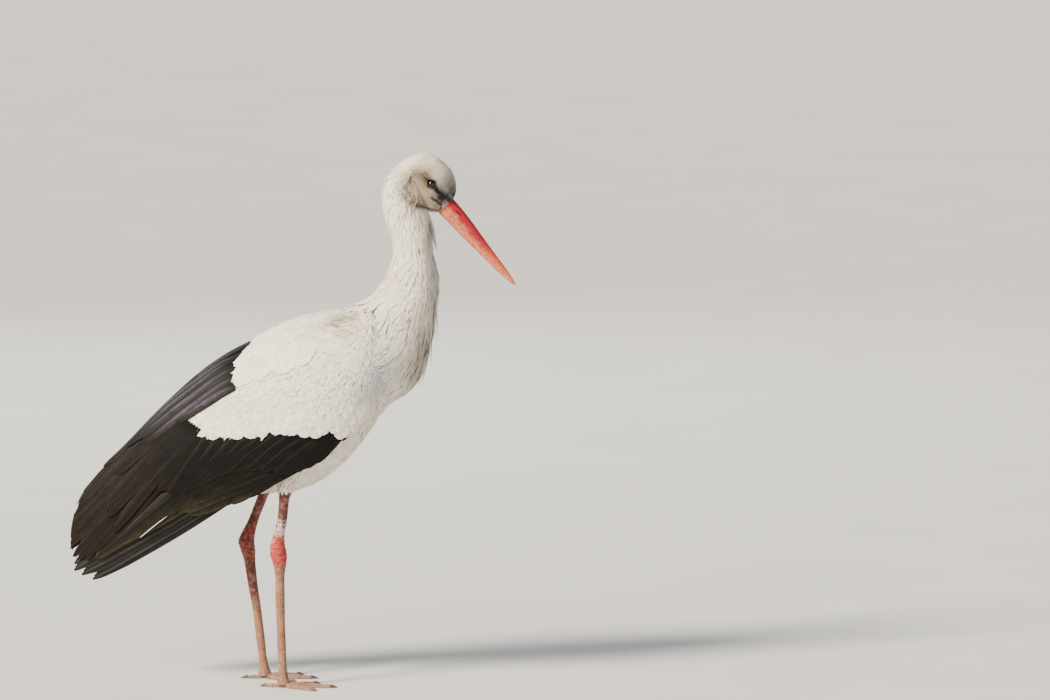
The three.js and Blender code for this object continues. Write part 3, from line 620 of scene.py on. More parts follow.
def depth_in_shell(points):
    """Level of points in the closed wings' shell, and how far they lie behind the wing's front edge."""
    s, d = body_axes(points[:, 0], points[:, 2])
    half_depth, half = shell_depth(s), curve(SHELL_HALF, s)
    up = d - (curve(SHELL_TOP, s) - half_depth)
    level = np.hypot(up / half_depth, points[:, 1] / half)
    v = np.minimum(np.arccos(np.clip(up / half_depth / np.maximum(level, 1e-3), -1, 1)) / SHELL_TURN, 1.3)
    return np.where(v > 1, 9, level), s - curve(SHEET_FRONT, np.clip(v, 0, 1))


def in_coverts(x, z, margin=0.0):
    """True inside the outline of the white coverts, moved in by the margin."""
    inside = np.zeros(np.shape(x), bool)
    corners = list(zip(COVERT_LINE, np.roll(COVERT_LINE, -1, axis=0)))
    for (x0, z0), (x1, z1) in corners:
        crosses = (z0 > z) != (z1 > z)
        inside ^= crosses & (x < (x1 - x0) * (z - z0) / (z1 - z0 if z1 != z0 else 1) + x0)
    edge = line_distance(x, z, [tuple(c) for c in COVERT_LINE] + [tuple(COVERT_LINE[0])])
    return inside & (edge > margin)


# ---------------------------------------------------------------------------------------------
# Materials
# ---------------------------------------------------------------------------------------------
class Nodes:
    """A material whose nodes are added one by one and joined to its shader."""

    def __init__(self, name, **shader):
        self.material = bpy.data.materials.new(name)
        self.material.use_nodes = True
        self.tree = self.material.node_tree
        self.shader = self.tree.nodes["Principled BSDF"]
        for key, value in shader.items():
            self.shader.inputs[key.replace("_", " ")].default_value = value

    def add(self, kind, values=None, **settings):
        node = self.tree.nodes.new(kind)
        for key, value in settings.items():
            setattr(node, key, value)
        for key, value in (values or {}).items():
            self.feed(value, node.inputs[key])
        return node

    def feed(self, value, socket):
        if isinstance(value, bpy.types.NodeSocket):
            self.tree.links.new(value, socket)
        else:
            socket.default_value = value

    def math(self, operation, *values, clamp=False):
        node = self.add("ShaderNodeMath", operation=operation, use_clamp=clamp)
        for i, value in enumerate(values):
            self.feed(value, node.inputs[i])
        return node.outputs[0]

    def attribute(self, name):
        return self.add("ShaderNodeAttribute", attribute_name=name).outputs

    def place(self, scale=(1, 1, 1)):
        coordinates = self.add("ShaderNodeTexCoord").outputs["Object"]
        return self.add("ShaderNodeMapping", {"Vector": coordinates, "Scale": scale}).outputs[0]

    def noise(self, vector, scale, detail=3.0, rough=.55):
        values = {"Vector": vector, "Scale": scale, "Detail": detail, "Roughness": rough}
        return self.add("ShaderNodeTexNoise", values).outputs["Fac"]

    def graded(self, value, low, high, to_low=0.0, to_high=1.0):
        values = {"Value": value, "From Min": low, "From Max": high, "To Min": to_low, "To Max": to_high}
        return self.add("ShaderNodeMapRange", values, clamp=True).outputs[0]

    def mix(self, share, first, second, blend="MIX"):
        node = self.add("ShaderNodeMix", data_type="RGBA", blend_type=blend)
        self.feed(share, node.inputs[0])
        self.feed(first, node.inputs[6])
        self.feed(second, node.inputs[7])
        return node.outputs[2]

    def bump(self, height, distance, strength=1.0, under=None):
        values = {"Height": height, "Distance": distance, "Strength": strength}
        if under:
            values["Normal"] = under
        return self.add("ShaderNodeBump", values).outputs[0]

    def finish(self, colour=None, roughness=None, normal=None):
        for value, key in ((colour, "Base Color"), (roughness, "Roughness"), (normal, "Normal")):
            if value is not None:
                self.feed(value, self.shader.inputs[key])
        return self.material


def feather_material(name, barbs, slant, contrast, rough, sheen, relief, streak=0.0, gloss=.3):
    """Feather: its own colour, fine barbs slanting off the shaft, soft blotches and, where asked
    for, long worn streaks that run with the barbs."""
    nodes = Nodes(name, Sheen_Weight=sheen, Sheen_Roughness=.45, Sheen_Tint=(1, .96, .90, 1),
                  Specular_IOR_Level=gloss)
    uv = nodes.add("ShaderNodeUVMap", uv_map="Vane").outputs[0]
    u, v = nodes.add("ShaderNodeSeparateXYZ", {"Vector": uv}).outputs[:2]
    aside = nodes.math("ABSOLUTE", nodes.math("SUBTRACT", u, .5))
    place = nodes.place()
    blotch = nodes.noise(place, 90, 2)
    fine = nodes.noise(place, 900, 2)
    wander = nodes.math("MULTIPLY", nodes.math("SUBTRACT", blotch, .5), 9.0)
    phase = nodes.math("ADD", nodes.math("MULTIPLY", v, barbs), nodes.math("MULTIPLY", aside, -slant))
    barb = nodes.math("SINE", nodes.math("ADD", phase, wander))
    barb = nodes.graded(barb, -1, 1)
    light = nodes.math("MULTIPLY", nodes.graded(barb, 0, 1, 1 - contrast, 1 + contrast * .3),
                       nodes.graded(blotch, .3, .7, 1 - contrast * .8, 1 + contrast * .4))
    light = nodes.math("MULTIPLY", light, nodes.graded(fine, .3, .7, 1 - contrast * .5, 1 + contrast * .3))
    if streak:
        swept = nodes.math("SUBTRACT", nodes.math("MULTIPLY", v, 5.0), nodes.math("MULTIPLY", aside, 4.0))
        lines = nodes.add("ShaderNodeCombineXYZ", {"X": nodes.math("MULTIPLY", u, 16.0), "Y": swept,
                          "Z": nodes.math("MULTIPLY", blotch, 2.0)}).outputs[0]
        worn = nodes.noise(lines, 1.0, 3, .6)
        light = nodes.math("MULTIPLY", light, nodes.graded(worn, .32, .70, 1 - streak, 1 + 1.6 * streak))
    grey = nodes.add("ShaderNodeCombineXYZ", {"X": light, "Y": light, "Z": light}).outputs[0]
    colour = nodes.mix(1.0, nodes.attribute("Tint")[0], grey, "MULTIPLY")
    shaft = nodes.graded(aside, .012, .035, 1, 0)
    height = nodes.math("ADD", barb, nodes.math("MULTIPLY", shaft, 2.5))
    return nodes.finish(colour, nodes.graded(barb, 0, 1, rough + .08, rough - .06),
                        nodes.bump(height, relief, .6))


def add_piece(piece, slot, *nodes):
    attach(piece, "root")
    if nodes:
        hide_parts(*nodes)
    return piece


# ---------------------------------------------------------------------------------------------
# Sizes and colours that a user would change
# ---------------------------------------------------------------------------------------------
def colour_property(name, description, default):
    return bpy.props.FloatVectorProperty(
        name=name, description=description, default=default, size=3, min=0, max=1, subtype="COLOR")


def size_property(name, description, default):
    return bpy.props.FloatProperty(
        name=name, description=description, default=default * MM, min=0, unit="LENGTH", subtype="DISTANCE")


class StorkSizes(bpy.types.PropertyGroup):
    down_depth: size_property("Down", "Depth of the body's skin under its feathers", 7)
    face_tuft: size_property("Face tufts", "Length of the shortest feathers, at the root of the bill", 4.5)
    crown_tuft: size_property("Crown tufts", "Length of the feathers on the crown", 9)
    hackle: size_property("Hackles", "Length of the feathers half way down the neck", 26)
    breast_hackle: size_property("Breast hackles", "Length of the hanging feathers on the breast", 72)
    body_feather: size_property("Body feathers", "Length of the feathers on belly and flanks", 30)
    covert: size_property("Coverts", "Length of the small feathers on the wing's front", 19)
    eye_radius: size_property("Eye", "Radius of the eyeball", EYE_RADIUS)


class StorkColours(bpy.types.PropertyGroup):
    white: colour_property("White", "White plumage", (.88, .80, .665))
    black: colour_property("Black", "Fresh flight feathers", (.0046, .0037, .0030))
    worn: colour_property("Worn brown", "Sun-bleached edges of the long tertials", (.050, .025, .013))
    olive: colour_property("Olive", "Dusty outer webs of the secondaries", (.080, .062, .032))
    crimson: colour_property("Crimson", "The bill under its dust", (.36, .006, .013))
    dust: colour_property("Dried mud", "Dust and mud on the bill", (.65, .31, .14))
    iris: colour_property("Iris", "The dark brown iris", (.010, .005, .003))
    floor: colour_property("Floor", "Studio floor", (.60, .59, .575))


# ---------------------------------------------------------------------------------------------
# The pieces
# ---------------------------------------------------------------------------------------------
def united(solids, name):
    """One closed mesh object from overlapping closed ones, by exact union."""
    first = solids[0]
    for other in solids[1:]:
        modifier = first.modifiers.new("join", "BOOLEAN")
        modifier.operation, modifier.solver, modifier.object = "UNION", "MANIFOLD", other
    evaluated = first.evaluated_get(bpy.context.evaluated_depsgraph_get())
    mesh = bpy.data.meshes.new_from_object(evaluated)
    for solid in solids:
        bpy.data.meshes.remove(solid.data)
    mesh.name = name
    piece = bpy.data.objects.new(name, mesh)
    bpy.context.scene.collection.objects.link(piece)
    return piece


def lid_relief(along, above, out):
    """Height added round the eye in mm: a raised lid, a furrow outside it, and fine folds."""
    across = above - EYE_ABOVE
    lengthwise = (along - EYE_ALONG) / np.where(along < 0, 1.28, 1.12)
    rho = np.hypot(lengthwise, across)
    lid = 1.15 * np.exp(-((rho - 6.9) / .85)**2)
    furrow = -.55 * np.exp(-((rho - 9.2) / .9)**2)
    folds = .16 * np.sin(rho * 3.1) * np.exp(-((rho - 10.5) / 3)**2)
    socket = -5.0 * ramp(6.3, 5.6, rho)
    return np.where(np.abs(out) > 12, lid + furrow + folds + socket, 0)


def head_grid():
    t = np.concatenate([np.linspace(-57.5, -16, 40), np.linspace(-15.4, 16, 78), np.linspace(16.8, 45.5, 44)])
    theta = np.linspace(-np.pi, np.pi, 168, endpoint=False)
    a = theta + .3 * np.sin(2 * theta)
    t, a = np.meshgrid(t, a, indexing="ij")
    flat = on_head(t, a, 0 * t)
    along, above, out = head_axes(flat)
    bare = bare_face(along, above)
    sunk = -2.6 + 1.9 * np.maximum(bare, ramp(14, 34, along))
    sunk = np.maximum(sunk, -.35 * through(HEAD, t)[..., 2])
    return on_head(t, a, sunk + lid_relief(along, above, out) * ramp(20, 14, np.hypot(along, above)))


def body_grid(depth):
    k = np.linspace(0, BODY_LENGTH, 210)
    a = np.linspace(-np.pi, np.pi, 88, endpoint=False)
    k, a = np.meshgrid(k, a, indexing="ij")
    x, z, back_x, back_z, half = np.moveaxis(through(BODY_LINE, k), -1, 0)
    sunk = np.minimum(depth * (.35 + .65 * ramp(660, 440, k)), .35 * np.minimum(half, np.hypot(back_x, back_z)))
    return on_body(k, a, -sunk)


def leg_grid(name, side):
    line = by_distance(LEGS[name], 3)
    t = np.concatenate([np.linspace(0, 90, 24), np.linspace(91.5, line[-1, 0], 220)])
    a = np.linspace(0, 2 * np.pi, 36, endpoint=False)
    t, a = np.meshgrid(t, a, indexing="ij")
    x, y, z, long, wide = np.moveaxis(through(line, t), -1, 0)
    sunk = np.where(z > 312, 3, 0) * ramp(312, 340, z)
    knuckle = .35 * np.sin(z * .9 + 2 * np.cos(a)) * np.exp(-((z - 218) / 22)**2)
    tendon = 1 + .05 * np.cos(2 * a) * ramp(30, 60, z) * ramp(190, 170, z)
    return np.stack([
        x + (long - sunk + knuckle) * tendon * np.cos(a),
        -side * y + (wide - sunk + knuckle) * np.sin(a),
        np.maximum(z, 1.5 + 0 * z),
    ], -1)


def toe_grid(root, direction, length, thick, tip):
    """A toe along the floor: a round tube with swollen joints and cross scutes, flat underneath."""
    t = np.linspace(0, 1, 64)
    a = np.linspace(0, 2 * np.pi, 22, endpoint=False)
    t, a = np.meshgrid(t, a, indexing="ij")
    swell = .35 * np.cos(t * 6 * np.pi)
    scute = .14 * np.abs(np.sin(t * length * .62)) * ramp(.1, .8, np.sin(a))
    radius = (thick + (tip - thick) * t + swell * .6 + scute) * np.where(t > .93, np.sqrt(1 - ((t - .93) / .078)**2 * .8), 1)
    left = np.array([-direction[1], direction[0], 0])
    centre = np.array(root) + direction * (t * length)[..., None]
    height = np.maximum(radius * np.sin(a) + radius - 3.2, 0)
    points = centre + left * (radius * np.cos(a))[..., None]
    points[..., 2] = height
    return points


def toe_direction(heading, turn, side):
    angle = np.radians(heading + turn) * side
    return np.array([np.cos(angle), np.sin(angle), 0])


def web_grid(root, first, second, reach):
    """The small skin between two toes, thin, with a hollow front edge."""
    t = np.linspace(0, 1, 14)
    a = np.linspace(0, 2 * np.pi, 28, endpoint=False)
    t, a = np.meshgrid(t, a, indexing="ij")
    share = .5 + .5 * np.cos(a)
    hollow = 1 - .34 * np.sin(np.pi * share)
    spread = first + (second - first) * share[..., None]
    points = np.array(root) + spread * (reach * t * hollow)[..., None]
    points[..., 2] = 2.1 + 1.1 * np.sin(a) * (1.35 - .6 * t)
    return points


def claw_grid(root, direction, length):
    """A curved horn: a ring carried along an arc that bends down to the floor."""
    t = np.linspace(0, 1, 22)
    a = np.linspace(0, 2 * np.pi, 16, endpoint=False)
    t, a = np.meshgrid(t, a, indexing="ij")
    radius = 3.0 * (1 - t)**.75 + .25
    left = np.array([-direction[1], direction[0], 0])
    points = np.array(root) + direction * (length - 1.5 + t * 12)[..., None] + left * (radius * .82 * np.cos(a))[..., None]
    points[..., 2] = np.maximum(3.3 - 2.6 * t**2 + radius * np.sin(a), .05)
    return points


class STORK_OT_skin(bpy.types.Operator):
    """One closed skin: trunk and neck, head with its lids, legs and feet, joined without seams"""

    bl_idname = "stork.skin"
    bl_label = "Skin"

    def execute(self, context):
        sizes, colours = context.scene.stork_sizes, context.scene.stork_colours
        nodes = Nodes("Skin", Specular_IOR_Level=.4)
        z = nodes.add("ShaderNodeSeparateXYZ", {"Vector": nodes.place()}).outputs[2]
        legs = nodes.graded(z, .322, .306)
        scales = nodes.add("ShaderNodeTexVoronoi", {"Vector": nodes.place((1, 1, .72)), "Scale": 300.0},
                           feature="DISTANCE_TO_EDGE").outputs[0]
        plates = nodes.graded(scales, .02, .16)
        cells = nodes.add("ShaderNodeTexVoronoi", {"Vector": nodes.place((1, 1, .72)), "Scale": 300.0}).outputs[1]
        tone = nodes.add("ShaderNodeSeparateColor", {"Color": cells}).outputs[0]
        dust = nodes.graded(nodes.noise(nodes.place(), 160, 4), .42, .68)
        cell_light = nodes.graded(tone, 0, 1, .82, 1.16)
        # painted shade: the grooves between the leg's scutes are darkened, over a random tone for each scute
        painted_groove_shade = nodes.graded(plates, 0, 1, .58, 1.0)
        scute_tone_and_groove_shade = nodes.math("MULTIPLY", cell_light, painted_groove_shade)
        wrinkle = nodes.noise(nodes.place((1, 1, 2)), 700, 4)
        light = nodes.math("ADD", nodes.math("MULTIPLY", legs, scute_tone_and_groove_shade),
                           nodes.math("MULTIPLY", nodes.math("SUBTRACT", 1.0, legs),
                                      nodes.graded(wrinkle, .3, .7, .86, 1.08)))
        grey = nodes.add("ShaderNodeCombineXYZ", {"X": light, "Y": light, "Z": light}).outputs[0]
        colour = nodes.mix(1.0, nodes.attribute("Tint")[0], grey, "MULTIPLY")
        dusted = nodes.math("MULTIPLY", legs, nodes.math("MULTIPLY", dust, .34))
        colour = nodes.mix(dusted, colour, (.50, .32, .23, 1))
        height = nodes.math("ADD", nodes.math("MULTIPLY", legs, plates), nodes.math("MULTIPLY", wrinkle, .35))
        rough = nodes.graded(dust, 0, 1, .5, .75)
        material = nodes.finish(colour, rough, nodes.bump(height, .0006, .8))
        solids = [tube_piece("trunk", body_grid(sizes.down_depth / MM), material),
                  tube_piece("head", head_grid(), material)]
        for name, side in SIDES.items():
            solids.append(tube_piece("leg", leg_grid(name, side), material))
            x, y, heading = FEET[name]
            root = (x, -side * y, 0)
            directions = {key: toe_direction(heading, toe[0], side) for key, toe in TOES.items()}
            for key, (turn, length, thick, tip) in TOES.items():
                solids.append(tube_piece("toe", toe_grid(root, directions[key], length, thick, tip), material))
            for key in ("inner", "outer"):
                grid = web_grid(root, directions["middle"], directions[key], 27)
                solids.append(tube_piece("web", grid, material))
        skin = united(solids, "skin")
        mesh = skin.data
        points = np.empty(len(mesh.vertices) * 3, np.float32)
        mesh.vertices.foreach_get("co", points)
        tint = skin_colour(points.reshape(-1, 3).astype(float) / MM, np.array(colours.white))
        rgba = np.concatenate([tint, np.ones((len(tint), 1))], 1)
        mesh.color_attributes.new("Tint", "FLOAT_COLOR", "POINT").data.foreach_set("color", rgba.ravel())
        mesh.shade_smooth()
        flesh = ["head", "neck_upper", "neck_lower", "trunk"]
        for name in SIDES:
            flesh += [f"thigh_{name}", f"shank_{name}", f"tarsus_{name}", f"foot_{name}"]
        add_piece(skin, "leg_skin", *flesh)
        print("skin", len(mesh.polygons))
        return {"FINISHED"}


class STORK_OT_eyes(bpy.types.Operator):
    """Eyes: globes with a slight cornea, a black pupil and a dark brown iris with fine spokes"""

    bl_idname = "stork.eyes"
    bl_label = "Eyes"

    def execute(self, context):
        sizes, colours = context.scene.stork_sizes, context.scene.stork_colours
        nodes = Nodes("Eye", Roughness=.12, Coat_Weight=.8, Coat_Roughness=.03, IOR=1.4, Specular_IOR_Level=.1)
        uv = nodes.add("ShaderNodeUVMap", uv_map="Round").outputs[0]
        u, v = nodes.add("ShaderNodeSeparateXYZ", {"Vector": uv}).outputs[:2]
        spokes = nodes.noise(nodes.add("ShaderNodeCombineXYZ", {"X": nodes.math("MULTIPLY", u, 40.0), "Y": v}).outputs[0], 3, 2)
        iris = nodes.mix(nodes.graded(spokes, .3, .7), (*[c * .5 for c in colours.iris], 1), (*[c * 1.5 for c in colours.iris], 1))
        colour = nodes.mix(nodes.graded(v, .155, .175), (.002, .002, .002, 1), iris)
        colour = nodes.mix(nodes.graded(v, .31, .36), colour, (.006, .004, .004, 1))
        material = nodes.finish(colour, None, nodes.bump(spokes, .00004, .3))
        radius = sizes.eye_radius / MM
        for name, side in SIDES.items():
            t, a = np.meshgrid(np.linspace(0.012, np.pi - .012, 40), np.linspace(0, 2 * np.pi, 56, endpoint=False), indexing="ij")
            reach = radius * (1 + .035 * ramp(.75, .25, t))
            grid = head_place(EYE_ALONG + reach * np.sin(t) * np.cos(a), EYE_ABOVE + reach * np.sin(t) * np.sin(a),
                              side * (EYE_OUT + reach * np.cos(t)))
            add_piece(tube_piece(f"eye_{name}_globe", grid, material), "eye", f"eye_{name}")
        return {"FINISHED"}


def bill_grid(upper):
    """Half of the bill: at each place along it an arc of a squarish oval, closed by the mouth plane."""
    t = np.concatenate([np.linspace(30, 60, 34), np.linspace(60.6, 78, 34), np.linspace(79, 209, 130), np.linspace(209.4, 211, 5)])
    arc = np.linspace(0, 1, 54)
    flat = np.linspace(0, 1, 16)[1:-1]
    above, depth, half = through(BILL, t).T
    mouth = curve(MOUTH, t) + (.16 if upper else -.16) * ramp(211, 200, t)
    start = np.arcsin(np.clip((mouth - above) / depth, -.95, .95))
    if upper:
        angle = start[:, None] + (np.pi - 2 * start[:, None]) * arc
    else:
        angle = np.pi - start[:, None] + (np.pi + 2 * start[:, None]) * arc
    out = half[:, None] * np.sign(np.cos(angle)) * np.abs(np.cos(angle))**.86
    up = above[:, None] + depth[:, None] * np.sin(angle)
    rise = np.abs(np.sin(angle))
    if upper:
        ridge = 1 - .10 * rise**3 * ramp(60, 90, t)[:, None]
        out = out * ridge
        slit = np.exp(-((t[:, None] - NOSTRIL[0]) / 6.4)**4 - ((up - NOSTRIL[1] - .03 * (t[:, None] - 64)) / .95)**2)
        furrow = np.exp(-((t[:, None] - 88) / 24)**4 - ((up - NOSTRIL[1] + .2) / 1.5)**2)
        out = out - np.sign(out) * (1.7 * slit + .35 * furrow)
    edge_out, edge_up = out[:, [0]], up[:, [0]]
    base_out = edge_out * (2 * flat - 1)
    grid_out = np.concatenate([out, base_out], 1)
    grid_up = np.concatenate([up, edge_up + 0 * base_out], 1)
    along = np.broadcast_to(t[:, None], grid_out.shape)
    return along, head_place(along, grid_up, grid_out)


def bill_colour(points, crimson):
    """Crimson, paler towards the orange tip, dark where the skin begins, with painted shade in the nostril slits."""
    along, above, out = head_axes(points)
    centre, depth, half = np.moveaxis(through(BILL, along), -1, 0)
    tint = np.broadcast_to(crimson, points.shape).astype(float)
    tint = mixed(tint, (.58, .085, .03), ramp(110, 190, along))
    tint = mixed(tint, (.60, .19, .10), .6 * ramp(175, 205, along))
    tint = mixed(tint, (.20, .006, .03), .55 * ramp(.55, 1, (above - centre) / depth) * ramp(150, 70, along))
    # painted shade: the hollow of each nostril slit coloured near-black
    slit = np.exp(-((along - NOSTRIL[0]) / 6.6)**4 - ((above - NOSTRIL[1] - .03 * (along - 64)) / 1.0)**2)
    tint = mixed(tint, (.012, .004, .004), 1.1 * slit * (np.abs(out) > 3))
    return mixed(tint, (.05, .012, .012), .8 * ramp(40, 33, along))


class STORK_OT_bill(bpy.types.Operator):
    """Bill: upper and lower half with nostril slits, and dried mud over crimson horn"""

    bl_idname = "stork.bill"
    bl_label = "Bill"

    def execute(self, context):
        colours = context.scene.stork_colours
        nodes = Nodes("Bill", Specular_IOR_Level=.5)
        uv = nodes.add("ShaderNodeUVMap", uv_map="Bill").outputs[0]
        along, above = nodes.add("ShaderNodeSeparateXYZ", {"Vector": uv}).outputs[:2]
        long_place = nodes.add("ShaderNodeMapping", {"Vector": nodes.add("ShaderNodeTexCoord").outputs["Object"],
                               "Rotation": (0, float(-BILL_DOWN), 0), "Scale": (.45, 1, 1)}).outputs[0]
        patches = nodes.noise(long_place, 85, 7, .74)
        streaks = nodes.noise(long_place, 420, 4, .6)
        specks = nodes.noise(nodes.place(), 620, 3, .6)
        low = nodes.graded(above, .72, -.35)
        mud = nodes.math("ADD", nodes.math("MULTIPLY", low, .40), nodes.math("MULTIPLY", patches, .78))
        mud = nodes.math("ADD", mud, nodes.math("MULTIPLY", streaks, .24))
        mud = nodes.graded(mud, .67, .84)
        worn = nodes.graded(specks, .36, .50, .30, 1)
        dust = nodes.mix(nodes.graded(streaks, .35, .65), (*colours.dust, 1), (.50, .13, .045, 1))
        colour = nodes.mix(nodes.math("MULTIPLY", nodes.math("MULTIPLY", mud, worn), .92), nodes.attribute("Tint")[0], dust)
        scratch = nodes.math("MULTIPLY", nodes.graded(streaks, .60, .70), nodes.graded(patches, .50, .62))
        colour = nodes.mix(nodes.math("MULTIPLY", scratch, .55), colour, (.72, .45, .36, 1))
        blots = nodes.graded(nodes.noise(nodes.place(), 210, 3), .56, .63)
        blots = nodes.math("MULTIPLY", blots, nodes.graded(low, .35, .9, 0, .8))
        colour = nodes.mix(blots, colour, (.40, .022, .008, 1))
        speck = nodes.math("MULTIPLY", nodes.graded(specks, .60, .66), nodes.graded(patches, .42, .6))
        colour = nodes.mix(nodes.math("MULTIPLY", speck, nodes.graded(low, .2, .8, .15, .75)), colour, (.10, .025, .010, 1))
        grain = nodes.math("ADD", nodes.math("MULTIPLY", streaks, .6), nodes.math("MULTIPLY", mud, .5))
        material = nodes.finish(colour, nodes.graded(mud, 0, 1, .36, .72), nodes.bump(grain, .0005, .6))
        for name, upper in (("upper", True), ("lower", False)):
            places, grid = bill_grid(upper)
            piece = tube_piece(f"bill_{name}_half", grid, material, lambda points: bill_colour(points, np.array(colours.crimson)))
            points = np.empty(len(piece.data.vertices) * 3, np.float32)
            piece.data.vertices.foreach_get("co", points)
            t, up, out = head_axes(points.reshape(-1, 3) / MM)
            centre, depth, half = through(BILL, t).T
            uv = np.stack([(t - 30) / 181, (up - centre) / depth], -1)
            loops = np.empty(len(piece.data.loops), np.int32)
            piece.data.loops.foreach_get("vertex_index", loops)
            piece.data.uv_layers.new(name="Bill").data.foreach_set("uv", uv[loops].astype(np.float32).ravel())
            add_piece(piece, "bill", f"bill_{name}")
        return {"FINISHED"}


class STORK_OT_claws(bpy.types.Operator):
    """Claws: short blunt horns, one on each toe"""

    bl_idname = "stork.claws"
    bl_label = "Claws"

    def execute(self, context):
        nodes = Nodes("Claw horn", Specular_IOR_Level=.5)
        grain = nodes.noise(nodes.place(), 900, 4)
        colour = nodes.mix(nodes.graded(grain, .35, .65), (.035, .022, .018, 1), (.14, .09, .07, 1))
        material = nodes.finish(colour, nodes.graded(grain, .3, .7, .35, .6), nodes.bump(grain, .0003, .5))
        for name, side in SIDES.items():
            x, y, heading = FEET[name]
            for key, (turn, length, thick, tip) in TOES.items():
                grid = claw_grid((x, -side * y, 0), toe_direction(heading, turn, side), length)
                piece = tube_piece(f"horn_{name}_{key}", grid, material)
                add_piece(piece, "claw", f"claw_{name}_{key}")
        return {"FINISHED"}


def plumage(white):
    return lambda points: plumage_colour(points, np.array(white))


class STORK_OT_head_plumage(bpy.types.Operator):
    """Face and crown: short tufts that flow back from the bill, parted round the eye"""

    bl_idname = "stork.head_plumage"
    bl_label = "Head plumage"

    def execute(self, context):
        sizes, colours = context.scene.stork_sizes, context.scene.stork_colours
        rng = np.random.default_rng(3)
        spans = ((-56, 42), (-np.pi, np.pi))
        gap = lambda t, a: 1.75 + .75 * ramp(0, -45, t)
        t, a = scatter(on_head, spans, gap)
        roots = on_head(t, a, 0 * t)
        along, above, out = head_axes(roots)
        rho = np.hypot(along - EYE_ALONG, above - EYE_ABOVE)
        bare = bare_face(along, above)
        kept = (rho > 9.2) & ((bare < .5) | (along > 11)) & (depth_in_body(roots) > .93) & (depth_in_head(roots) > .8)
        kept &= ~((along > 36) & (above < 8) & (above > -15.5))
        t, a, roots, along, above, out, bare = (v[kept] for v in (t, a, roots, along, above, out, bare))
        rho = np.hypot(along - EYE_ALONG, above - EYE_ABOVE)
        side = np.sign(a)
        swirl = side * .9 * np.exp(-((rho - 9) / 7)**2) * np.sign(above - EYE_ABOVE) * ramp(-6, 10, along) * -1
        droop = side * (.30 + .25 * ramp(-5, -30, above))
        length = curve([[-61, 14], [-40, 13], [-15, sizes.crown_tuft / MM], [15, 6.6], [30, 5.2], [42, sizes.face_tuft / MM]], t)
        length = np.minimum(length * 1.2, 6 + 1.1 * (t + 57)) * (1 - .4 * np.exp(-((rho - 9) / 5)**2)) * (1 - .35 * bare)
        half = length * .105 + .32
        lot = tuft_lot(on_head, spans, (t, a), np.pi + swirl - droop * ramp(20, -20, along), length, half,
                       plumage(colours.white), rng, count=4, sunk=1.5, proud=.35, thick=.16, curl=.2,
                       camber=.12, shade=.84, vary=.045, flow=.14, clump=.28, lock=13)
        material = feather_material("Face plumage", 26, 14, .10, .78, .25, .0003)
        piece = feather_piece("plumage_head", [lot], material)
        add_piece(piece, "white_plumage", "head")
        print("head", len(piece.data.polygons) * 2)
        return {"FINISHED"}


def body_lot(region, spacing, length, half, colours, rng, seed=0, keep=None, **more):
    """Tufts on the trunk or neck, within spans of k and a, outside the head and the closed wings."""
    k, a = scatter(on_body, region, spacing, seed)
    roots = on_body(k, a, 0 * k)
    level, behind = depth_in_shell(roots)
    kept = (depth_in_head(roots) > .97) & ~((level < 1.0) & (behind > 26))
    kept &= ~((level < .90) & (behind > 10))
    if keep is not None:
        kept &= keep(k, a, roots)
    k, a = k[kept], a[kept]
    sideways = np.sin(a)
    heading = np.pi + .16 * sideways * ramp(560, 420, k) * np.sign(np.cos(a) + .3)
    return tuft_lot(on_body, region, (k, a), heading, length(k, a), half(k, a), plumage(colours.white), rng, **more)


class STORK_OT_neck_hackles(bpy.types.Operator):
    """Neck: narrow hackles down from the nape and throat, longer and looser towards the breast"""

    bl_idname = "stork.neck_hackles"
    bl_label = "Neck hackles"

    def execute(self, context):
        sizes, colours = context.scene.stork_sizes, context.scene.stork_colours
        hackle = sizes.hackle / MM
        material = feather_material("Hackles", 9, 9, .10, .8, .3, .0003)
        rng = np.random.default_rng(11)
        length = lambda k, a: curve([[380, hackle * 1.7], [450, hackle * 1.5], [520, hackle * 1.2], [600, hackle * .85], [687, hackle * .5]], k)
        half = lambda k, a: curve([[380, 3.8], [450, 3.1], [520, 2.5], [600, 2.0], [687, 1.3]], k)
        for name, region, gap in (
            ("upper", ((560, 674), (-np.pi, np.pi)), lambda k, a: 2.7 - .5 * ramp(600, 670, k)),
            ("middle", ((455, 562), (-np.pi, np.pi)), lambda k, a: 3.3 + .6 * ramp(520, 460, k)),
        ):
            lot = body_lot(region, gap, length, half, colours, rng, count=6, sunk=2.6, proud=.6, thick=.26,
                           curl=.3, camber=.12, shade=.86, vary=.045)
            lots = [lot]
            if name == "middle":
                def at_wing(k, a, roots):
                    level, behind = depth_in_shell(roots)
                    return (level > .8) & (behind > -34) & (behind < 12)

                lots.append(body_lot(((425, 548), (-np.pi * .8, np.pi * .8)), lambda k, a: 5.0, lambda k, a: 36 + 0 * k,
                                     lambda k, a: 3.0 + 0 * k, colours, rng, seed=5, keep=at_wing, count=7, sunk=.6,
                                     proud=4.2, thick=.3, curl=.25, camber=.12, shade=.86, flow=.2, clump=1.2,
                                     stray=.4, vary=.04))
            if name == "upper":
                lots.append(body_lot(((572, 612), (np.pi * .86, np.pi * 1.14)), lambda k, a: 4.4, lambda k, a: 38 + 0 * k,
                                     lambda k, a: 1.3 + 0 * k, colours, rng, count=8, sunk=1.6, proud=8, thick=.3,
                                     curl=.35, camber=.1, shade=.84, flow=.3, clump=3.0, stray=.6))
            piece = feather_piece(f"hackles_{name}", lots, material)
            add_piece(piece, "white_plumage", "neck_upper" if name == "upper" else "neck_lower")
            print(name, len(piece.data.polygons) * 2)
        return {"FINISHED"}


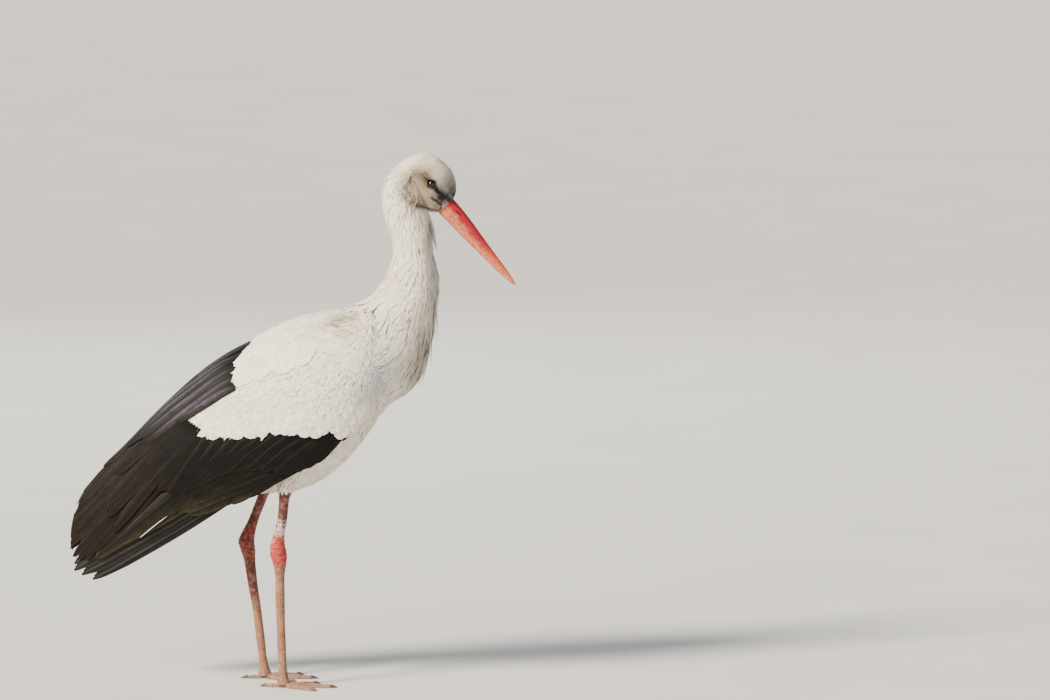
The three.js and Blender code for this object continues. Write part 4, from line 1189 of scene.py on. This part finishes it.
class STORK_OT_breast(bpy.types.Operator):
    """Breast: long pointed hackles that hang free at their tips, over soft body feathers"""

    bl_idname = "stork.breast"
    bl_label = "Breast"

    def execute(self, context):
        sizes, colours = context.scene.stork_sizes, context.scene.stork_colours
        hackle, long = sizes.hackle / MM, sizes.breast_hackle / MM
        rng = np.random.default_rng(17)
        material = feather_material("Breast plumage", 10, 10, .10, .8, .3, .0003)
        region = ((300, 470), (-np.pi, np.pi))
        lots = [body_lot(
            region, lambda k, a: 5.0 + .8 * ramp(420, 330, k),
            lambda k, a: curve([[300, 34], [380, hackle * 1.4], [470, hackle * 1.25]], k),
            lambda k, a: curve([[300, 5.2], [380, 3.9], [470, 2.7]], k), colours, rng,
            count=6, sunk=3.2, proud=.6, thick=.32, curl=.3, camber=.12, shade=.80, vary=.04)]
        hanging = ((395, 480), (np.pi * .62, np.pi * 1.38))
        lots.append(body_lot(
            hanging, lambda k, a: 8.5, lambda k, a: long * curve([[395, .55], [430, .85], [480, 1]], k),
            lambda k, a: 2.9 + 0 * k, colours, rng, seed=3, count=9, sunk=2.4, proud=2.4, thick=.32,
            curl=.16, camber=.15, shade=.78, vary=.07))
        piece = feather_piece("plumage_breast", lots, material)
        add_piece(piece, "white_plumage", "neck_lower")
        print("breast", len(piece.data.polygons) * 2)
        return {"FINISHED"}


class STORK_OT_underparts(bpy.types.Operator):
    """Belly, flanks and thighs: broad soft feathers that close round the tops of the legs"""

    bl_idname = "stork.underparts"
    bl_label = "Underparts"

    def execute(self, context):
        sizes, colours = context.scene.stork_sizes, context.scene.stork_colours
        size = sizes.body_feather / MM
        rng = np.random.default_rng(23)
        material = feather_material("Belly plumage", 12, 12, .09, .82, .3, .0003)
        region = ((14, 306), (np.pi * .30, np.pi * 1.70))
        lots = [body_lot(
            region, lambda k, a: 6.2, lambda k, a: size * (1.2 + 0 * k), lambda k, a: 6.4 + 0 * k, colours, rng,
            count=5, sunk=3.6, proud=.5, thick=.35, curl=.25, camber=.12, shade=.82, vary=.035)]
        for name, side in SIDES.items():
            line = by_distance(LEGS[name][:6], 3)

            def on_thigh(t, a, h, line=line, side=side):
                x, y, z, long, wide = np.moveaxis(through(line, t), -1, 0)
                return np.stack([x + (long + h) * np.cos(a), -side * y + (wide + h) * np.sin(a), z], -1)

            spans = ((8, 86), (-np.pi, np.pi))
            t, a = scatter(on_thigh, spans, lambda t, a: 4.4 - 1.2 * ramp(50, 85, t))
            lots.append(tuft_lot(
                on_thigh, spans, (t, a), 0 * t, curve([[8, 26], [60, 17], [86, 10]], t),
                curve([[8, 4.6], [60, 3], [86, 1.6]], t), plumage(colours.white), rng, count=5, sunk=2.6,
                proud=.6, thick=.4, curl=.25, camber=.2, shade=.72, vary=.05))
        piece = feather_piece("plumage_belly", lots, material)
        add_piece(piece, "white_plumage", "trunk")
        print("belly", len(piece.data.polygons) * 2)
        return {"FINISHED"}


def sheet_lot(carrier, s, v, outer, thick, colour, spans):
    """A closed sheet of down under the wing's feathers: two parallel copies of a patch and its rim."""
    m, n = s.shape
    points = np.stack([carrier(s, v, outer + 0 * s), carrier(s, v, outer - thick + 0 * s)])
    i = np.arange(m * n).reshape(m, n)
    top = np.stack([i[:-1, :-1], i[:-1, 1:], i[1:, 1:], i[1:, :-1]], -1).reshape(-1, 4)
    rim = np.concatenate([i[0, :-1], i[:-1, -1], i[-1, :0:-1], i[:0:-1, 0]])
    after = np.roll(rim, -1)
    walls = np.stack([after, rim, rim + m * n, after + m * n], -1)
    uv = np.stack([(s - spans[0][0]) / (spans[0][1] - spans[0][0]), (v - spans[1][0]) / (spans[1][1] - spans[1][0])], -1)
    uv = np.broadcast_to(np.clip(uv * .96 + .02, 0, 1), (2, m, n, 2))
    vane = np.full((2, m, n, 2), .3)
    return {"points": points, "faces": np.concatenate([top, top[:, ::-1] + m * n, walls]),
            "tint": colour(points), "vane": vane, "bake": uv}


WING_SPANS = ((-45, 345), (-.05, 1.05))


def row_roots(s0, s1, step, gap, v0, v1, rng):
    """Staggered rows across the shell: [s, v] of the roots, row by row."""
    roots = []
    s, row = s0, 0
    while s < s1:
        arc = SHELL_TURN * .5 * (curve(SHELL_HALF, s) + shell_depth(s)) * (v1 - v0)
        count = max(int(arc / gap(s)), 2)
        v = v0 + (v1 - v0) * (np.arange(count) + .5 * (row % 2) + .1) / count
        roots.append(np.stack([s + rng.normal(0, step(s) * .22, count), v + rng.normal(0, .12 / count, count)], -1))
        s, row = s + step(s), row + 1
    return np.concatenate(roots).T


def laid(carrier, line_s, line_v, half, rng, colour, spans, *, lift0, lift1, thick=.45, section="soft",
         width=ROUND_WIDTH, camber=.12, tilt=0.0, shade=.8, vary=.03, wave=0.0):
    """Feathers on given paths of the shell, rising from lift0 at the root to lift1 at the tip."""
    n, count = line_s.shape
    lift0, lift1 = np.broadcast_to(lift0, (n,)), np.broadcast_to(lift1, (n,))
    rise = np.linspace(0, 1, count)**.75
    lift = lift0[:, None] + (lift1 - lift0)[:, None] * rise
    lift = lift + wave * np.sin(np.linspace(0, 7, count) + rng.uniform(0, 6, (n, 1))) * np.linspace(.3, 1, count)
    wide = half[:, None] * along_profile(width, count)
    body = np.broadcast_to(thick * along_profile([[0, 1], [.6, 1], [1, .4]], count), wide.shape)
    points, faces, u, v = feathers(carrier, line_s, line_v, wide, lift, body, section, camber, tilt)
    tint = colour(points) * (shade + (1 - shade) * ramp(.1, .85, v))[..., None]
    tint = tint * (1 + rng.normal(0, vary, n))[:, None, None, None]
    return {"points": points, "faces": faces, "tint": np.clip(tint, 0, 1),
            "vane": np.stack([u, v], -1), "bake": unwrapped(line_s, line_v, u, v, spans)}


class STORK_OT_coverts(bpy.types.Operator):
    """White wing coverts: small crinkled rows in front, scalloped rows below, scapulars on top"""

    bl_idname = "stork.coverts"
    bl_label = "White coverts and scapulars"

    def execute(self, context):
        sizes, colours = context.scene.stork_sizes, context.scene.stork_colours
        covert = sizes.covert / MM
        material = feather_material("White coverts", 18, 16, .07, .8, .3, .0003)
        white = plumage(colours.white)
        for name, side in SIDES.items():
            rng = np.random.default_rng(31 + side)
            carrier = mirrored(on_shell, side)
            lots = []
            # down under the rows
            u, q = np.meshgrid(np.linspace(0, 1, 60), np.linspace(0, 1, 40), indexing="ij")
            front = curve(SHEET_FRONT, q) + 6
            s = front + (318 - front) * u
            top = np.maximum(curve(SHEET_TOP, s), 0)
            v = top + (np.minimum(.93, turn_at(s, -52 + 0 * s)) - top) * q
            dark = np.array(colours.black)

            def shade_of(points):
                x, z = points[..., 0], points[..., 2]
                s, d = body_axes(x, z)
                return mixed(white(points) * .8, dark, (~in_coverts(x, z, 5)) * ((s > 150) | (d < -20)))

            lots.append(sheet_lot(carrier, s, v, -4.6 - 12 * ramp(30, -25, s), 1.6, shade_of, WING_SPANS))
            # lesser and median coverts
            s, v = row_roots(-34, 300, lambda s: 6.6 + 4.2 * ramp(40, 230, s), lambda s: 7.6 + 4.6 * ramp(40, 230, s),
                             .03, 1.0, rng)
            front = curve(SHEET_FRONT, np.clip(v, 0, 1))
            at = on_shell(s, v, 0 * s)
            wrinkled = ramp(40, 110, s) * ramp(235, 170, s) * ramp(.78, .62, v)
            heading = .12 + .36 * ramp(.25, .8, v) + (.14 + .22 * wrinkled) * ripple(at, 24) + rng.normal(0, .09, len(s))
            length = covert * (1 + .85 * ramp(20, 240, s)) * rng.uniform(.85, 1.15, len(s))
            half = length * .31
            line_s, line_v = grow(carrier, s, v, heading, length, 6, (.12 + .35 * wrinkled) * ripple(at[:, [2, 0, 1]], 19) + rng.normal(0, .1, len(s)))
            tip = on_shell(line_s[:, -1], line_v[:, -1], 0 * s)
            kept = (s > front - 4) & (v > curve(SHEET_TOP, s) * .75) & in_coverts(tip[:, 0], tip[:, 2], 1.5)
            kept &= ~((v < .36) & (s > 70) & (s < 190))
            crinkle = wrinkled * (.5 + ripple(at[:, [1, 2, 0]], 15))
            lots.append(laid(carrier, line_s[kept], line_v[kept], half[kept], rng, white, WING_SPANS,
                             lift0=(-3.0 - 8 * ramp(0, -30, s))[kept],
                             lift1=(.1 + rng.uniform(-.25, .35, len(s)) + .9 * crinkle)[kept],
                             shade=.78, vary=.04, camber=.09, thick=.3))
            # fine loose tufts over the rows
            spans = ((-34, 318), (.03, 1.0))
            s, v = scatter(carrier, spans, lambda s, v: 5.4 - .9 * ramp(60, 0, s))
            at = on_shell(s, v, 0 * s)
            heading = .12 + .36 * ramp(.25, .8, v) + .30 * ripple(at, 24)
            tip_s, tip_v = grow(carrier, s, v, heading, 24 + 0 * s, 3)
            tip = on_shell(tip_s[:, -1], tip_v[:, -1], 0 * s)
            front = curve(SHEET_FRONT, np.clip(v, 0, 1))
            kept = (s > front - 4) & (v > curve(SHEET_TOP, s) * .75 + .04 * (s > 195)) & in_coverts(tip[:, 0], tip[:, 2], .5)
            kept &= in_coverts(at[:, 0], at[:, 2], 1)
            s, v, heading = s[kept], v[kept], heading[kept]
            lots.append(tuft_lot(carrier, WING_SPANS, (s, v), heading, covert * .9 + 8 * ramp(20, 240, s),
                                 2.1 + .9 * ramp(20, 240, s), white, rng, count=5, sunk=1.6, proud=.7, thick=.14,
                                 curl=.3, camber=.1, shade=.84, vary=.04, flow=.1, clump=.5, lock=14, stray=.8))
            # the scalloped row along the lower edge
            edge = np.array([(-168, 435), (-160, 421), (-143, 409), (-124, 403), (-106, 404), (-86, 405), (-66, 407), (-47, 410),
                             (-29, 413), (-11, 413), (6, 412), (23, 411), (40, 411), (56, 421), (68, 414), (79, 406),
                             (93, 413), (103, 424), (111, 437)], float)
            for back, up, drop in ((0, 2, 0), (9, 5, .8), (11, 15, .4), (-3, 27, .2)):
                tips = edge + [back, up] + rng.normal(0, 1.6, edge.shape)
                s1, d1 = body_axes(tips[:, 0], tips[:, 1])
                slope = np.linspace(.62, .88, len(edge)) + rng.normal(0, .07, len(edge))
                long = rng.uniform(30, 38, len(edge))
                s0, d0 = s1 - long * np.cos(slope), d1 + long * np.sin(slope)
                t = np.linspace(0, 1, 9)
                line_s = s0[:, None] + (s1 - s0)[:, None] * t
                line_v = turn_at(line_s, d0[:, None] + (d1 - d0)[:, None] * t)
                kept = tips[:, 0] > 1.6 * up - 175
                lots.append(laid(carrier, line_s[kept], line_v[kept], rng.uniform(10.5, 13.5, kept.sum()), rng, white,
                                 WING_SPANS, lift0=-2.6, lift1=.7 + drop * .6 + rng.uniform(0, .5, kept.sum()),
                                 shade=.76, vary=.04, camber=.09, thick=.4))
            # mantle and scapulars: [s, d] of root and tip, half width, height of the tip
            s, v = row_roots(-40, 196, lambda s: 9.5 + 4 * ramp(40, 160, s), lambda s: 11.0 + 4 * ramp(40, 160, s), .0, .36, rng)
            length = 34 + 30 * ramp(20, 150, s) + rng.uniform(-5, 5, len(s))
            at = on_shell(s, v, 0 * s)
            heading = .05 + .24 * ramp(.1, .36, v) + .12 * ripple(at, 50) + rng.normal(0, .06, len(s))
            line_s, line_v = grow(carrier, s, v, heading, length, 8, rng.normal(0, .12, len(s)))
            tip = on_shell(line_s[:, -1], line_v[:, -1], 0 * s)
            kept = in_coverts(tip[:, 0], tip[:, 2], 1.0) & (line_v[:, -1] > .002)
            lots.append(laid(carrier, line_s[kept], line_v[kept], (9.5 + 6 * ramp(20, 150, s))[kept], rng, white, WING_SPANS,
                             lift0=(-2.0 - 14 * ramp(0, -36, s))[kept],
                             lift1=(.5 + rng.uniform(0, .5, len(s)) + .9 * ramp(.10, .0, v))[kept], shade=.88,
                             vary=.025, camber=.05, thick=.3))
            folds = np.array([
                [40, 112, 112, 76, 15, 3.0], [66, 104, 146, 84, 15, 3.6], [96, 122, 152, 94, 16, 2.6], [120, 112, 186, 98, 15, 3.4],
                [140, 126, 210, 103, 16, 3.4], [150, 138, 222, 116, 16, 3.0], [140, 142, 200, 128, 15, 2.6],
            ])
            t = np.linspace(0, 1, 12)
            line_s = folds[:, [0]] + (folds[:, [2]] - folds[:, [0]]) * t
            line_d = folds[:, [1]] + (folds[:, [3]] - folds[:, [1]]) * t + 5 * t * (1 - t)
            lots.append(laid(carrier, line_s, turn_at(line_s, line_d), folds[:, 4], rng, white, WING_SPANS,
                             lift0=-1.2, lift1=folds[:, 5] * .62, shade=.90, vary=.02, camber=.05, thick=.35, tilt=.05))
            piece = feather_piece(f"coverts_{name}", lots, material)
            add_piece(piece, "white_plumage", f"wing_{name}")
            print("coverts", len(piece.data.polygons) * 2)
        return {"FINISHED"}


def fan(roots, tips, count, half, rng, jitter=2.0):
    """Feathers spread between two chains of [s, d]: their roots run along one, their tips along the other."""
    t = np.linspace(0, 1, count)
    r = np.array(roots, float)
    e = np.array(tips, float)
    at_r = through(np.column_stack([np.linspace(0, 1, len(r)), r]), t)
    at_e = through(np.column_stack([np.linspace(0, 1, len(e)), e]), t)
    at_e = at_e + rng.normal(0, jitter, at_e.shape)
    return at_r, at_e, curve(half, t)


def big_feathers(carrier, roots, tips, half, rng, colour, *, low, rise, bow=4.0, count=30, tilt=.07, camber=.10,
                 thick=.5, ragged=.10, columns=6, sink=0.0, top=.3):
    """Flight feathers: long blades from [s, d] to [s, d], bowed up a little, one over the next."""
    n = len(roots)
    t = np.linspace(0, 1, count)
    line_s = roots[:, [0]] + (tips[:, [0]] - roots[:, [0]]) * t
    line_d = roots[:, [1]] + (tips[:, [1]] - roots[:, [1]]) * t + bow * 4 * t * (1 - t)
    line_v = turn_at(line_s, np.minimum(line_d, curve(SHELL_TOP, line_s) - top))
    lift = np.linspace(low, low + rise, n)[:, None] + .8 * t - sink * ramp(.25, 0, t)
    wear = 1 - ragged * ramp(.55, 1, t) * np.abs(np.sin(t * rng.uniform(35, 60, (n, 1)) + rng.uniform(0, 6, (n, 1))))
    wide = half[:, None] * along_profile(QUILL_WIDTH, count) * wear
    body = np.broadcast_to(thick * along_profile([[0, 1.2], [.5, 1], [1, .5]], count), wide.shape)
    points, faces, u, v = feathers(carrier, line_s, line_v, wide, lift, body, "quill", camber, tilt)
    shape = u.shape
    number = np.broadcast_to(np.linspace(0, 1, n)[:, None, None], shape)
    return {"points": points, "faces": faces, "tint": np.clip(colour(points, u, v, number), 0, 1),
            "vane": np.stack([u, v], -1), "bake": strips(n, u, v, columns)}


class STORK_OT_flight_feathers(bpy.types.Operator):
    """Black flight feathers: greater coverts, dusty secondaries, worn tertials and long scapulars"""

    bl_idname = "stork.flight_feathers"
    bl_label = "Flight feathers"

    def execute(self, context):
        colours = context.scene.stork_colours
        black, worn, olive = (np.array(c) for c in (colours.black, colours.worn, colours.olive))
        material = feather_material("Flight feathers", 240, 90, .22, .56, .0, .0003, .62, .11)

        def edged(edge, strength, painted_lilac_sheen=0.0, wash=.28):
            """Black webs, a paler edge worn brown towards the tip, a dark shaft and, where asked for, a painted lilac
            sheen along the middle of the blade.
            """
            def colour(points, u, v, number):
                tint = np.broadcast_to(black, points.shape) * (1 + .30 * ripple(points, 40)[..., None])
                border = ramp(.40, 1.0, np.abs(2 * u - 1))**1.6
                streak = ramp(-.2, .8, ripple(points * [1, .2, 1], 9))
                tint = mixed(tint, edge, strength * (.35 + .65 * ramp(.2, 1, v)) * (border * .8 + wash * (.4 + .6 * streak) * ramp(.25, .8, v)))
                # painted sheen: a lilac glint along the middle of the blade
                tint = mixed(tint, (.052, .046, .056), painted_lilac_sheen * ramp(.10, .35, v) * ramp(1, .6, v) * ramp(.9, .3, np.abs(2 * u - 1)))
                return mixed(tint, (.006, .005, .005), ramp(.05, .02, np.abs(u - .5)))
            return colour

        for name, side in SIDES.items():
            rng = np.random.default_rng(53 + side)
            carrier = mirrored(on_shell, side)
            lots = []
            u, q = np.meshgrid(np.linspace(0, 1, 70), np.linspace(0, 1, 30), indexing="ij")
            s = 20 + (572 - 20) * u
            top = np.where(s < 300, .38, .02)
            lower = np.where(s < 322, .985, turn_at(s, curve(SHEET_LOW, s) + 3))
            v = np.minimum(top, lower - .1) + (lower - np.minimum(top, lower - .1)) * q
            spans = ((0, 620), (-.05, 1.1))
            lots.append(sheet_lot(carrier, s, v, -6.0, 1.2, lambda points: np.broadcast_to(black * .8, points.shape), spans))
            for roots, tips, count, half, jitter, tint, more in (
                ([(60, -8), (150, -44), (193, -56), (215, -22), (250, 2), (290, 30)],
                 [(330, -52), (352, -40), (392, -17), (443, 4), (505, -2), (556, -6)],
                 14, [[0, 13], [1, 13]], 3, edged(olive, .62, wash=.42), {"low": -5.0, "rise": 2.4, "bow": -3, "tilt": .09}),
                ([(20, -2), (70, -38), (110, -40), (153, -36), (173, -6), (212, 16), (254, 39), (295, 64), (310, 88)],
                 [(120, -62), (180, -66), (215, -64), (240, -44), (275, -16), (325, 6), (371, 12), (404, 22), (412, 46)],
                 17, [[0, 12], [.5, 16], [1, 17]], 2, edged(worn, .28, wash=.1), {"low": -2.6, "rise": 1.8, "bow": 3}),
                ([(300, 60), (306, 72), (312, 86), (314, 98), (316, 110), (318, 120), (300, 130)],
                 [(553, -4), (583, 12), (590, 28), (578, 50), (552, 76), (526, 88), (489, 104)],
                 21, [[0, 10], [1, 9]], 5, edged(worn, .55, wash=.2), {"low": -2.6, "rise": 3.2, "bow": 6, "ragged": .26, "top": 7}),
                ([(300, 78), (306, 92), (312, 104), (316, 116)], [(512, 24), (500, 52), (470, 78), (440, 100)],
                 10, [[0, 10], [1, 9]], 7, edged(worn, .5, wash=.15), {"low": .5, "rise": 1.2, "bow": 5, "ragged": .22, "top": 7}),
                ([(318, 138), (348, 133)], [(540, 86), (520, 96)], 2, [[0, 13], [1, 13]], 0, edged(worn, .5, wash=.15),
                 {"low": -2.6, "rise": 1.4, "bow": 20, "ragged": .2, "top": .7}),
            ):
                r, e, w = fan(roots, tips, count, half, rng, jitter)
                lots.append(big_feathers(carrier, r, e, w, rng, tint, columns=4, **more))
            # the black scapulars, given a painted lilac sheen
            roots = np.array([(196, 104), (176, 118), (170, 130), (166, 140)], float)
            tips = np.array([(330, 108), (398, 106), (404, 116), (420, 120)], float)
            lots.append(big_feathers(carrier, roots, tips, np.array([15., 14, 14, 13]), rng, edged(worn, .15, 1.0),
                                     low=2.1, rise=1.4, bow=7, tilt=.06, columns=4, sink=5.0, top=4.5))
            roots = np.array([(134, 144), (210, 149)], float)
            tips = np.array([(428, 117), (470, 109)], float)
            lots.append(big_feathers(carrier, roots, tips, np.array([15., 14]), rng, edged(worn, .15, .8),
                                     low=1.0, rise=.6, bow=30, tilt=-.04, columns=2, sink=3.4, top=.8))
            piece = feather_piece(f"flight_{name}", lots, material)
            add_piece(piece, "black_plumage", f"flight_feathers_{name}")
            print("flight", len(piece.data.polygons) * 2)
        return {"FINISHED"}


class STORK_OT_primaries(bpy.types.Operator):
    """Folded primaries: seven narrow black feathers with pale shafts, below the wing"""

    bl_idname = "stork.primaries"
    bl_label = "Primaries"

    def execute(self, context):
        colours = context.scene.stork_colours
        black = np.array(colours.black)
        material = feather_material("Primaries", 260, 90, .18, .5, .0, .0003, .35, .16)

        def colour(points, u, v, number):
            tint = np.broadcast_to(black * 1.35, points.shape) * (1 + .25 * ripple(points, 50)[..., None])
            tint = mixed(tint, (.075, .068, .062), .5 * ramp(.8, 1, 2 * u - 1))
            return mixed(tint, (.06, .052, .045), .6 * ramp(.05, .015, np.abs(u - .5)))

        for name, side in SIDES.items():
            rng = np.random.default_rng(71 + side)
            carrier = mirrored(on_shell, side)
            roots = np.array([(300, -46), (306, -42), (318, -36), (328, -30), (338, -22), (345, -14), (350, -2)], float)
            tips = np.array([(572, -33), (586, -31), (584, -18), (596, -13), (590, -2), (603, 3), (596, 11)], float)
            half = np.array([8.5, 9, 8.5, 9, 8.5, 9, 8.5])
            lots = [big_feathers(carrier, roots, tips, half, rng, colour, low=-8.6, rise=2.4, bow=-2.5, tilt=.10,
                                 thick=.4, ragged=.0, columns=4)]
            pale = lambda points, u, v, number: np.broadcast_to((.74, .72, .68), points.shape)
            lots.append(big_feathers(carrier, np.array([(425., -9)]), np.array([(482., -14)]), np.array([.7]), rng, pale,
                                     low=-.6, rise=0, bow=.6, thick=.5, ragged=.0, columns=1))
            piece = feather_piece(f"primaries_{name}_fan", lots, material)
            add_piece(piece, "grey_plumage", f"primaries_{name}")
        return {"FINISHED"}


def on_tail(s, c, h):
    """Tail: s to the rear, c from -1 at the left edge to 1 at the right, on the upper face of a flat oval."""
    d, half_depth, half = np.moveaxis(through(TAIL, s), -1, 0)
    across = np.clip(c, -1.15, 1.15)
    return body_place(s, d + half_depth * np.sqrt(np.maximum(1 - .8 * across**2, .05)) + h, half * across)


def under_tail(s, c, h):
    points = on_tail(s, c, 0 * s)
    d, half_depth, half = np.moveaxis(through(TAIL, s), -1, 0)
    across = np.clip(c, -1.15, 1.15)
    return body_place(s, d - half_depth * np.sqrt(np.maximum(1 - .8 * across**2, .05)) - h, half * across)


class STORK_OT_tail(bpy.types.Operator):
    """Tail: twelve white feathers, nearly hidden, under soft coverts"""

    bl_idname = "stork.tail"
    bl_label = "Tail"

    def execute(self, context):
        colours = context.scene.stork_colours
        material = feather_material("Tail plumage", 60, 30, .10, .8, .25, .0004)
        rng = np.random.default_rng(83)
        white = plumage(colours.white)
        spans = ((240, 520), (-1.2, 1.2))
        lots = []
        c = np.linspace(-.8, .8, 12)
        line_s = 290 + (506 - 18 * np.abs(c) - 290)[:, None] * np.linspace(0, 1, 22)
        line_c = c[:, None] * np.linspace(.8, 1, 22)
        lots.append(laid(under_tail, line_s, line_c, np.full(12, 9.5), rng, white, spans, lift0=-2.0, lift1=-1.2 + .25 * (12 - np.arange(12)) / 6,
                         section="quill", width=QUILL_WIDTH, camber=.06, shade=.85))
        s, c = scatter(under_tail, ((250, 430), (-1, 1)), lambda s, c: 8.5)
        line_s, line_c = grow(under_tail, s, c, rng.normal(0, .1, len(s)), 46 + 20 * rng.uniform(-1, 1, len(s)), 7)
        lots.append(laid(under_tail, line_s, line_c, np.full(len(s), 5.5), rng, white, spans, lift0=-4, lift1=1.2, shade=.78, vary=.04))
        piece = feather_piece("plumage_tail", lots, material)
        add_piece(piece, "white_plumage", "tail")
        print("tail", len(piece.data.polygons) * 2)
        return {"FINISHED"}


class STORK_OT_stage(bpy.types.Operator):
    """Pale floor, soft lights and the camera"""

    bl_idname = "stork.stage"
    bl_label = "Floor, lights and camera"

    def execute(self, context):
        scene = context.scene
        colours = scene.stork_colours
        nodes = Nodes("Studio floor", Roughness=.9, Specular_IOR_Level=.2)
        cloud = nodes.noise(nodes.place(), 3, 3)
        base = np.array(colours.floor)
        colour = nodes.mix(nodes.graded(cloud, .3, .7), (*base * .97, 1), (*base * 1.03, 1))
        material = nodes.finish(colour)
        turn = np.linspace(0, np.pi / 2, 20)
        radius = np.concatenate([[20, 400, 1500, 3000, 4500], 6000 + 24000 * np.sin(turn)])
        height = np.concatenate([[0] * 5, 7000 - 7000 * np.cos(turn)])
        angle = np.linspace(0, 2 * np.pi, 96, endpoint=False)
        points = np.stack([radius * np.cos(angle)[:, None], radius * np.sin(angle)[:, None],
                           height + 0 * angle[:, None]], -1).reshape(-1, 3)
        i = np.arange(96 * len(radius)).reshape(96, -1)
        j = np.roll(i, -1, axis=0)
        quads = np.stack([i[:, :-1], i[:, 1:], j[:, 1:], j[:, :-1]], -1).reshape(-1, 4)
        points = np.concatenate([points, [[0, 0, 0]]])
        middle = np.stack([np.full(96, len(points) - 1), i[:, 0], j[:, 0]], -1)
        mesh = bpy.data.meshes.new("floor")
        mesh.from_pydata((points * MM).tolist(), [], quads.tolist() + middle.tolist())
        mesh.materials.append(material)
        mesh.shade_smooth()
        floor = bpy.data.objects.new("floor", mesh)
        scene.collection.objects.link(floor)
        aim = Vector((.02, 0, .45))
        for name, kind, place, size, power, colour in (
            ("key", "SUN", (-3.6, -2.7, 3.7), .26, 9.3, (1, .92, .79)),
            ("fill", "AREA", (3.2, -3.4, 1.6), 3.0, 16, (.82, .90, 1)),
            ("catch", "AREA", (-1.49, -2.82, 2.30), .6, 44, (1, .97, .92)),
            ("back", "AREA", (-1.0, 4.4, 3.2), 4.0, 130, (.94, .97, 1)),
        ):
            light = bpy.data.lights.new(name, kind)
            light.energy, light.color = power, colour
            if kind == "SUN":
                light.angle = size
            else:
                light.size = size
            lamp = bpy.data.objects.new(name, light)
            lamp.location = place
            lamp.rotation_euler = (aim - Vector(place)).to_track_quat("-Z", "Y").to_euler()
            scene.collection.objects.link(lamp)
        world = bpy.data.worlds.new("Studio")
        world.use_nodes = True
        world.node_tree.nodes["Background"].inputs[0].default_value = (.86, .90, 1.0, 1)
        world.node_tree.nodes["Background"].inputs[1].default_value = .29
        scene.world = world
        target = Vector((.3736, 0, .5385))
        view = Vector((0, np.cos(np.radians(6)), -np.sin(np.radians(6))))
        camera = bpy.data.cameras.new("camera")
        camera.lens, camera.sensor_width, camera.sensor_fit = 200, 36, "HORIZONTAL"
        camera.clip_end = 200
        holder = bpy.data.objects.new("camera", camera)
        holder.location = target - view * 9.333
        holder.rotation_euler = view.to_track_quat("-Z", "Y").to_euler()
        scene.collection.objects.link(holder)
        scene.camera = holder
        return {"FINISHED"}


class STORK_PT_panel(bpy.types.Panel):
    """Everything the figure is made of, in the order in which it is made"""

    bl_label = "Stork"
    bl_idname = "STORK_PT_panel"
    bl_space_type = "VIEW_3D"
    bl_region_type = "UI"
    bl_category = "Stork"

    def draw(self, context):
        for group in (context.scene.stork_sizes, context.scene.stork_colours):
            column = self.layout.column()
            for key in group.__annotations__:
                column.prop(group, key)
        for step in STEPS:
            self.layout.operator(step.bl_idname)


STEPS = (
    STORK_OT_stage, STORK_OT_skin, STORK_OT_eyes, STORK_OT_bill, STORK_OT_claws, STORK_OT_head_plumage,
    STORK_OT_neck_hackles, STORK_OT_breast, STORK_OT_underparts, STORK_OT_coverts,
    STORK_OT_flight_feathers, STORK_OT_primaries, STORK_OT_tail,
)
CLASSES = (StorkSizes, StorkColours, *STEPS, STORK_PT_panel)


def register():
    for cls in CLASSES:
        bpy.utils.register_class(cls)
    bpy.types.Scene.stork_sizes = bpy.props.PointerProperty(type=StorkSizes)
    bpy.types.Scene.stork_colours = bpy.props.PointerProperty(type=StorkColours)


def unregister():
    del bpy.types.Scene.stork_colours
    del bpy.types.Scene.stork_sizes
    for cls in reversed(CLASSES):
        bpy.utils.unregister_class(cls)


def main():
    register()
    for step in STEPS:
        area, name = step.bl_idname.split(".")
        getattr(getattr(bpy.ops, area), name)()


if __name__ == "__main__":
    main()
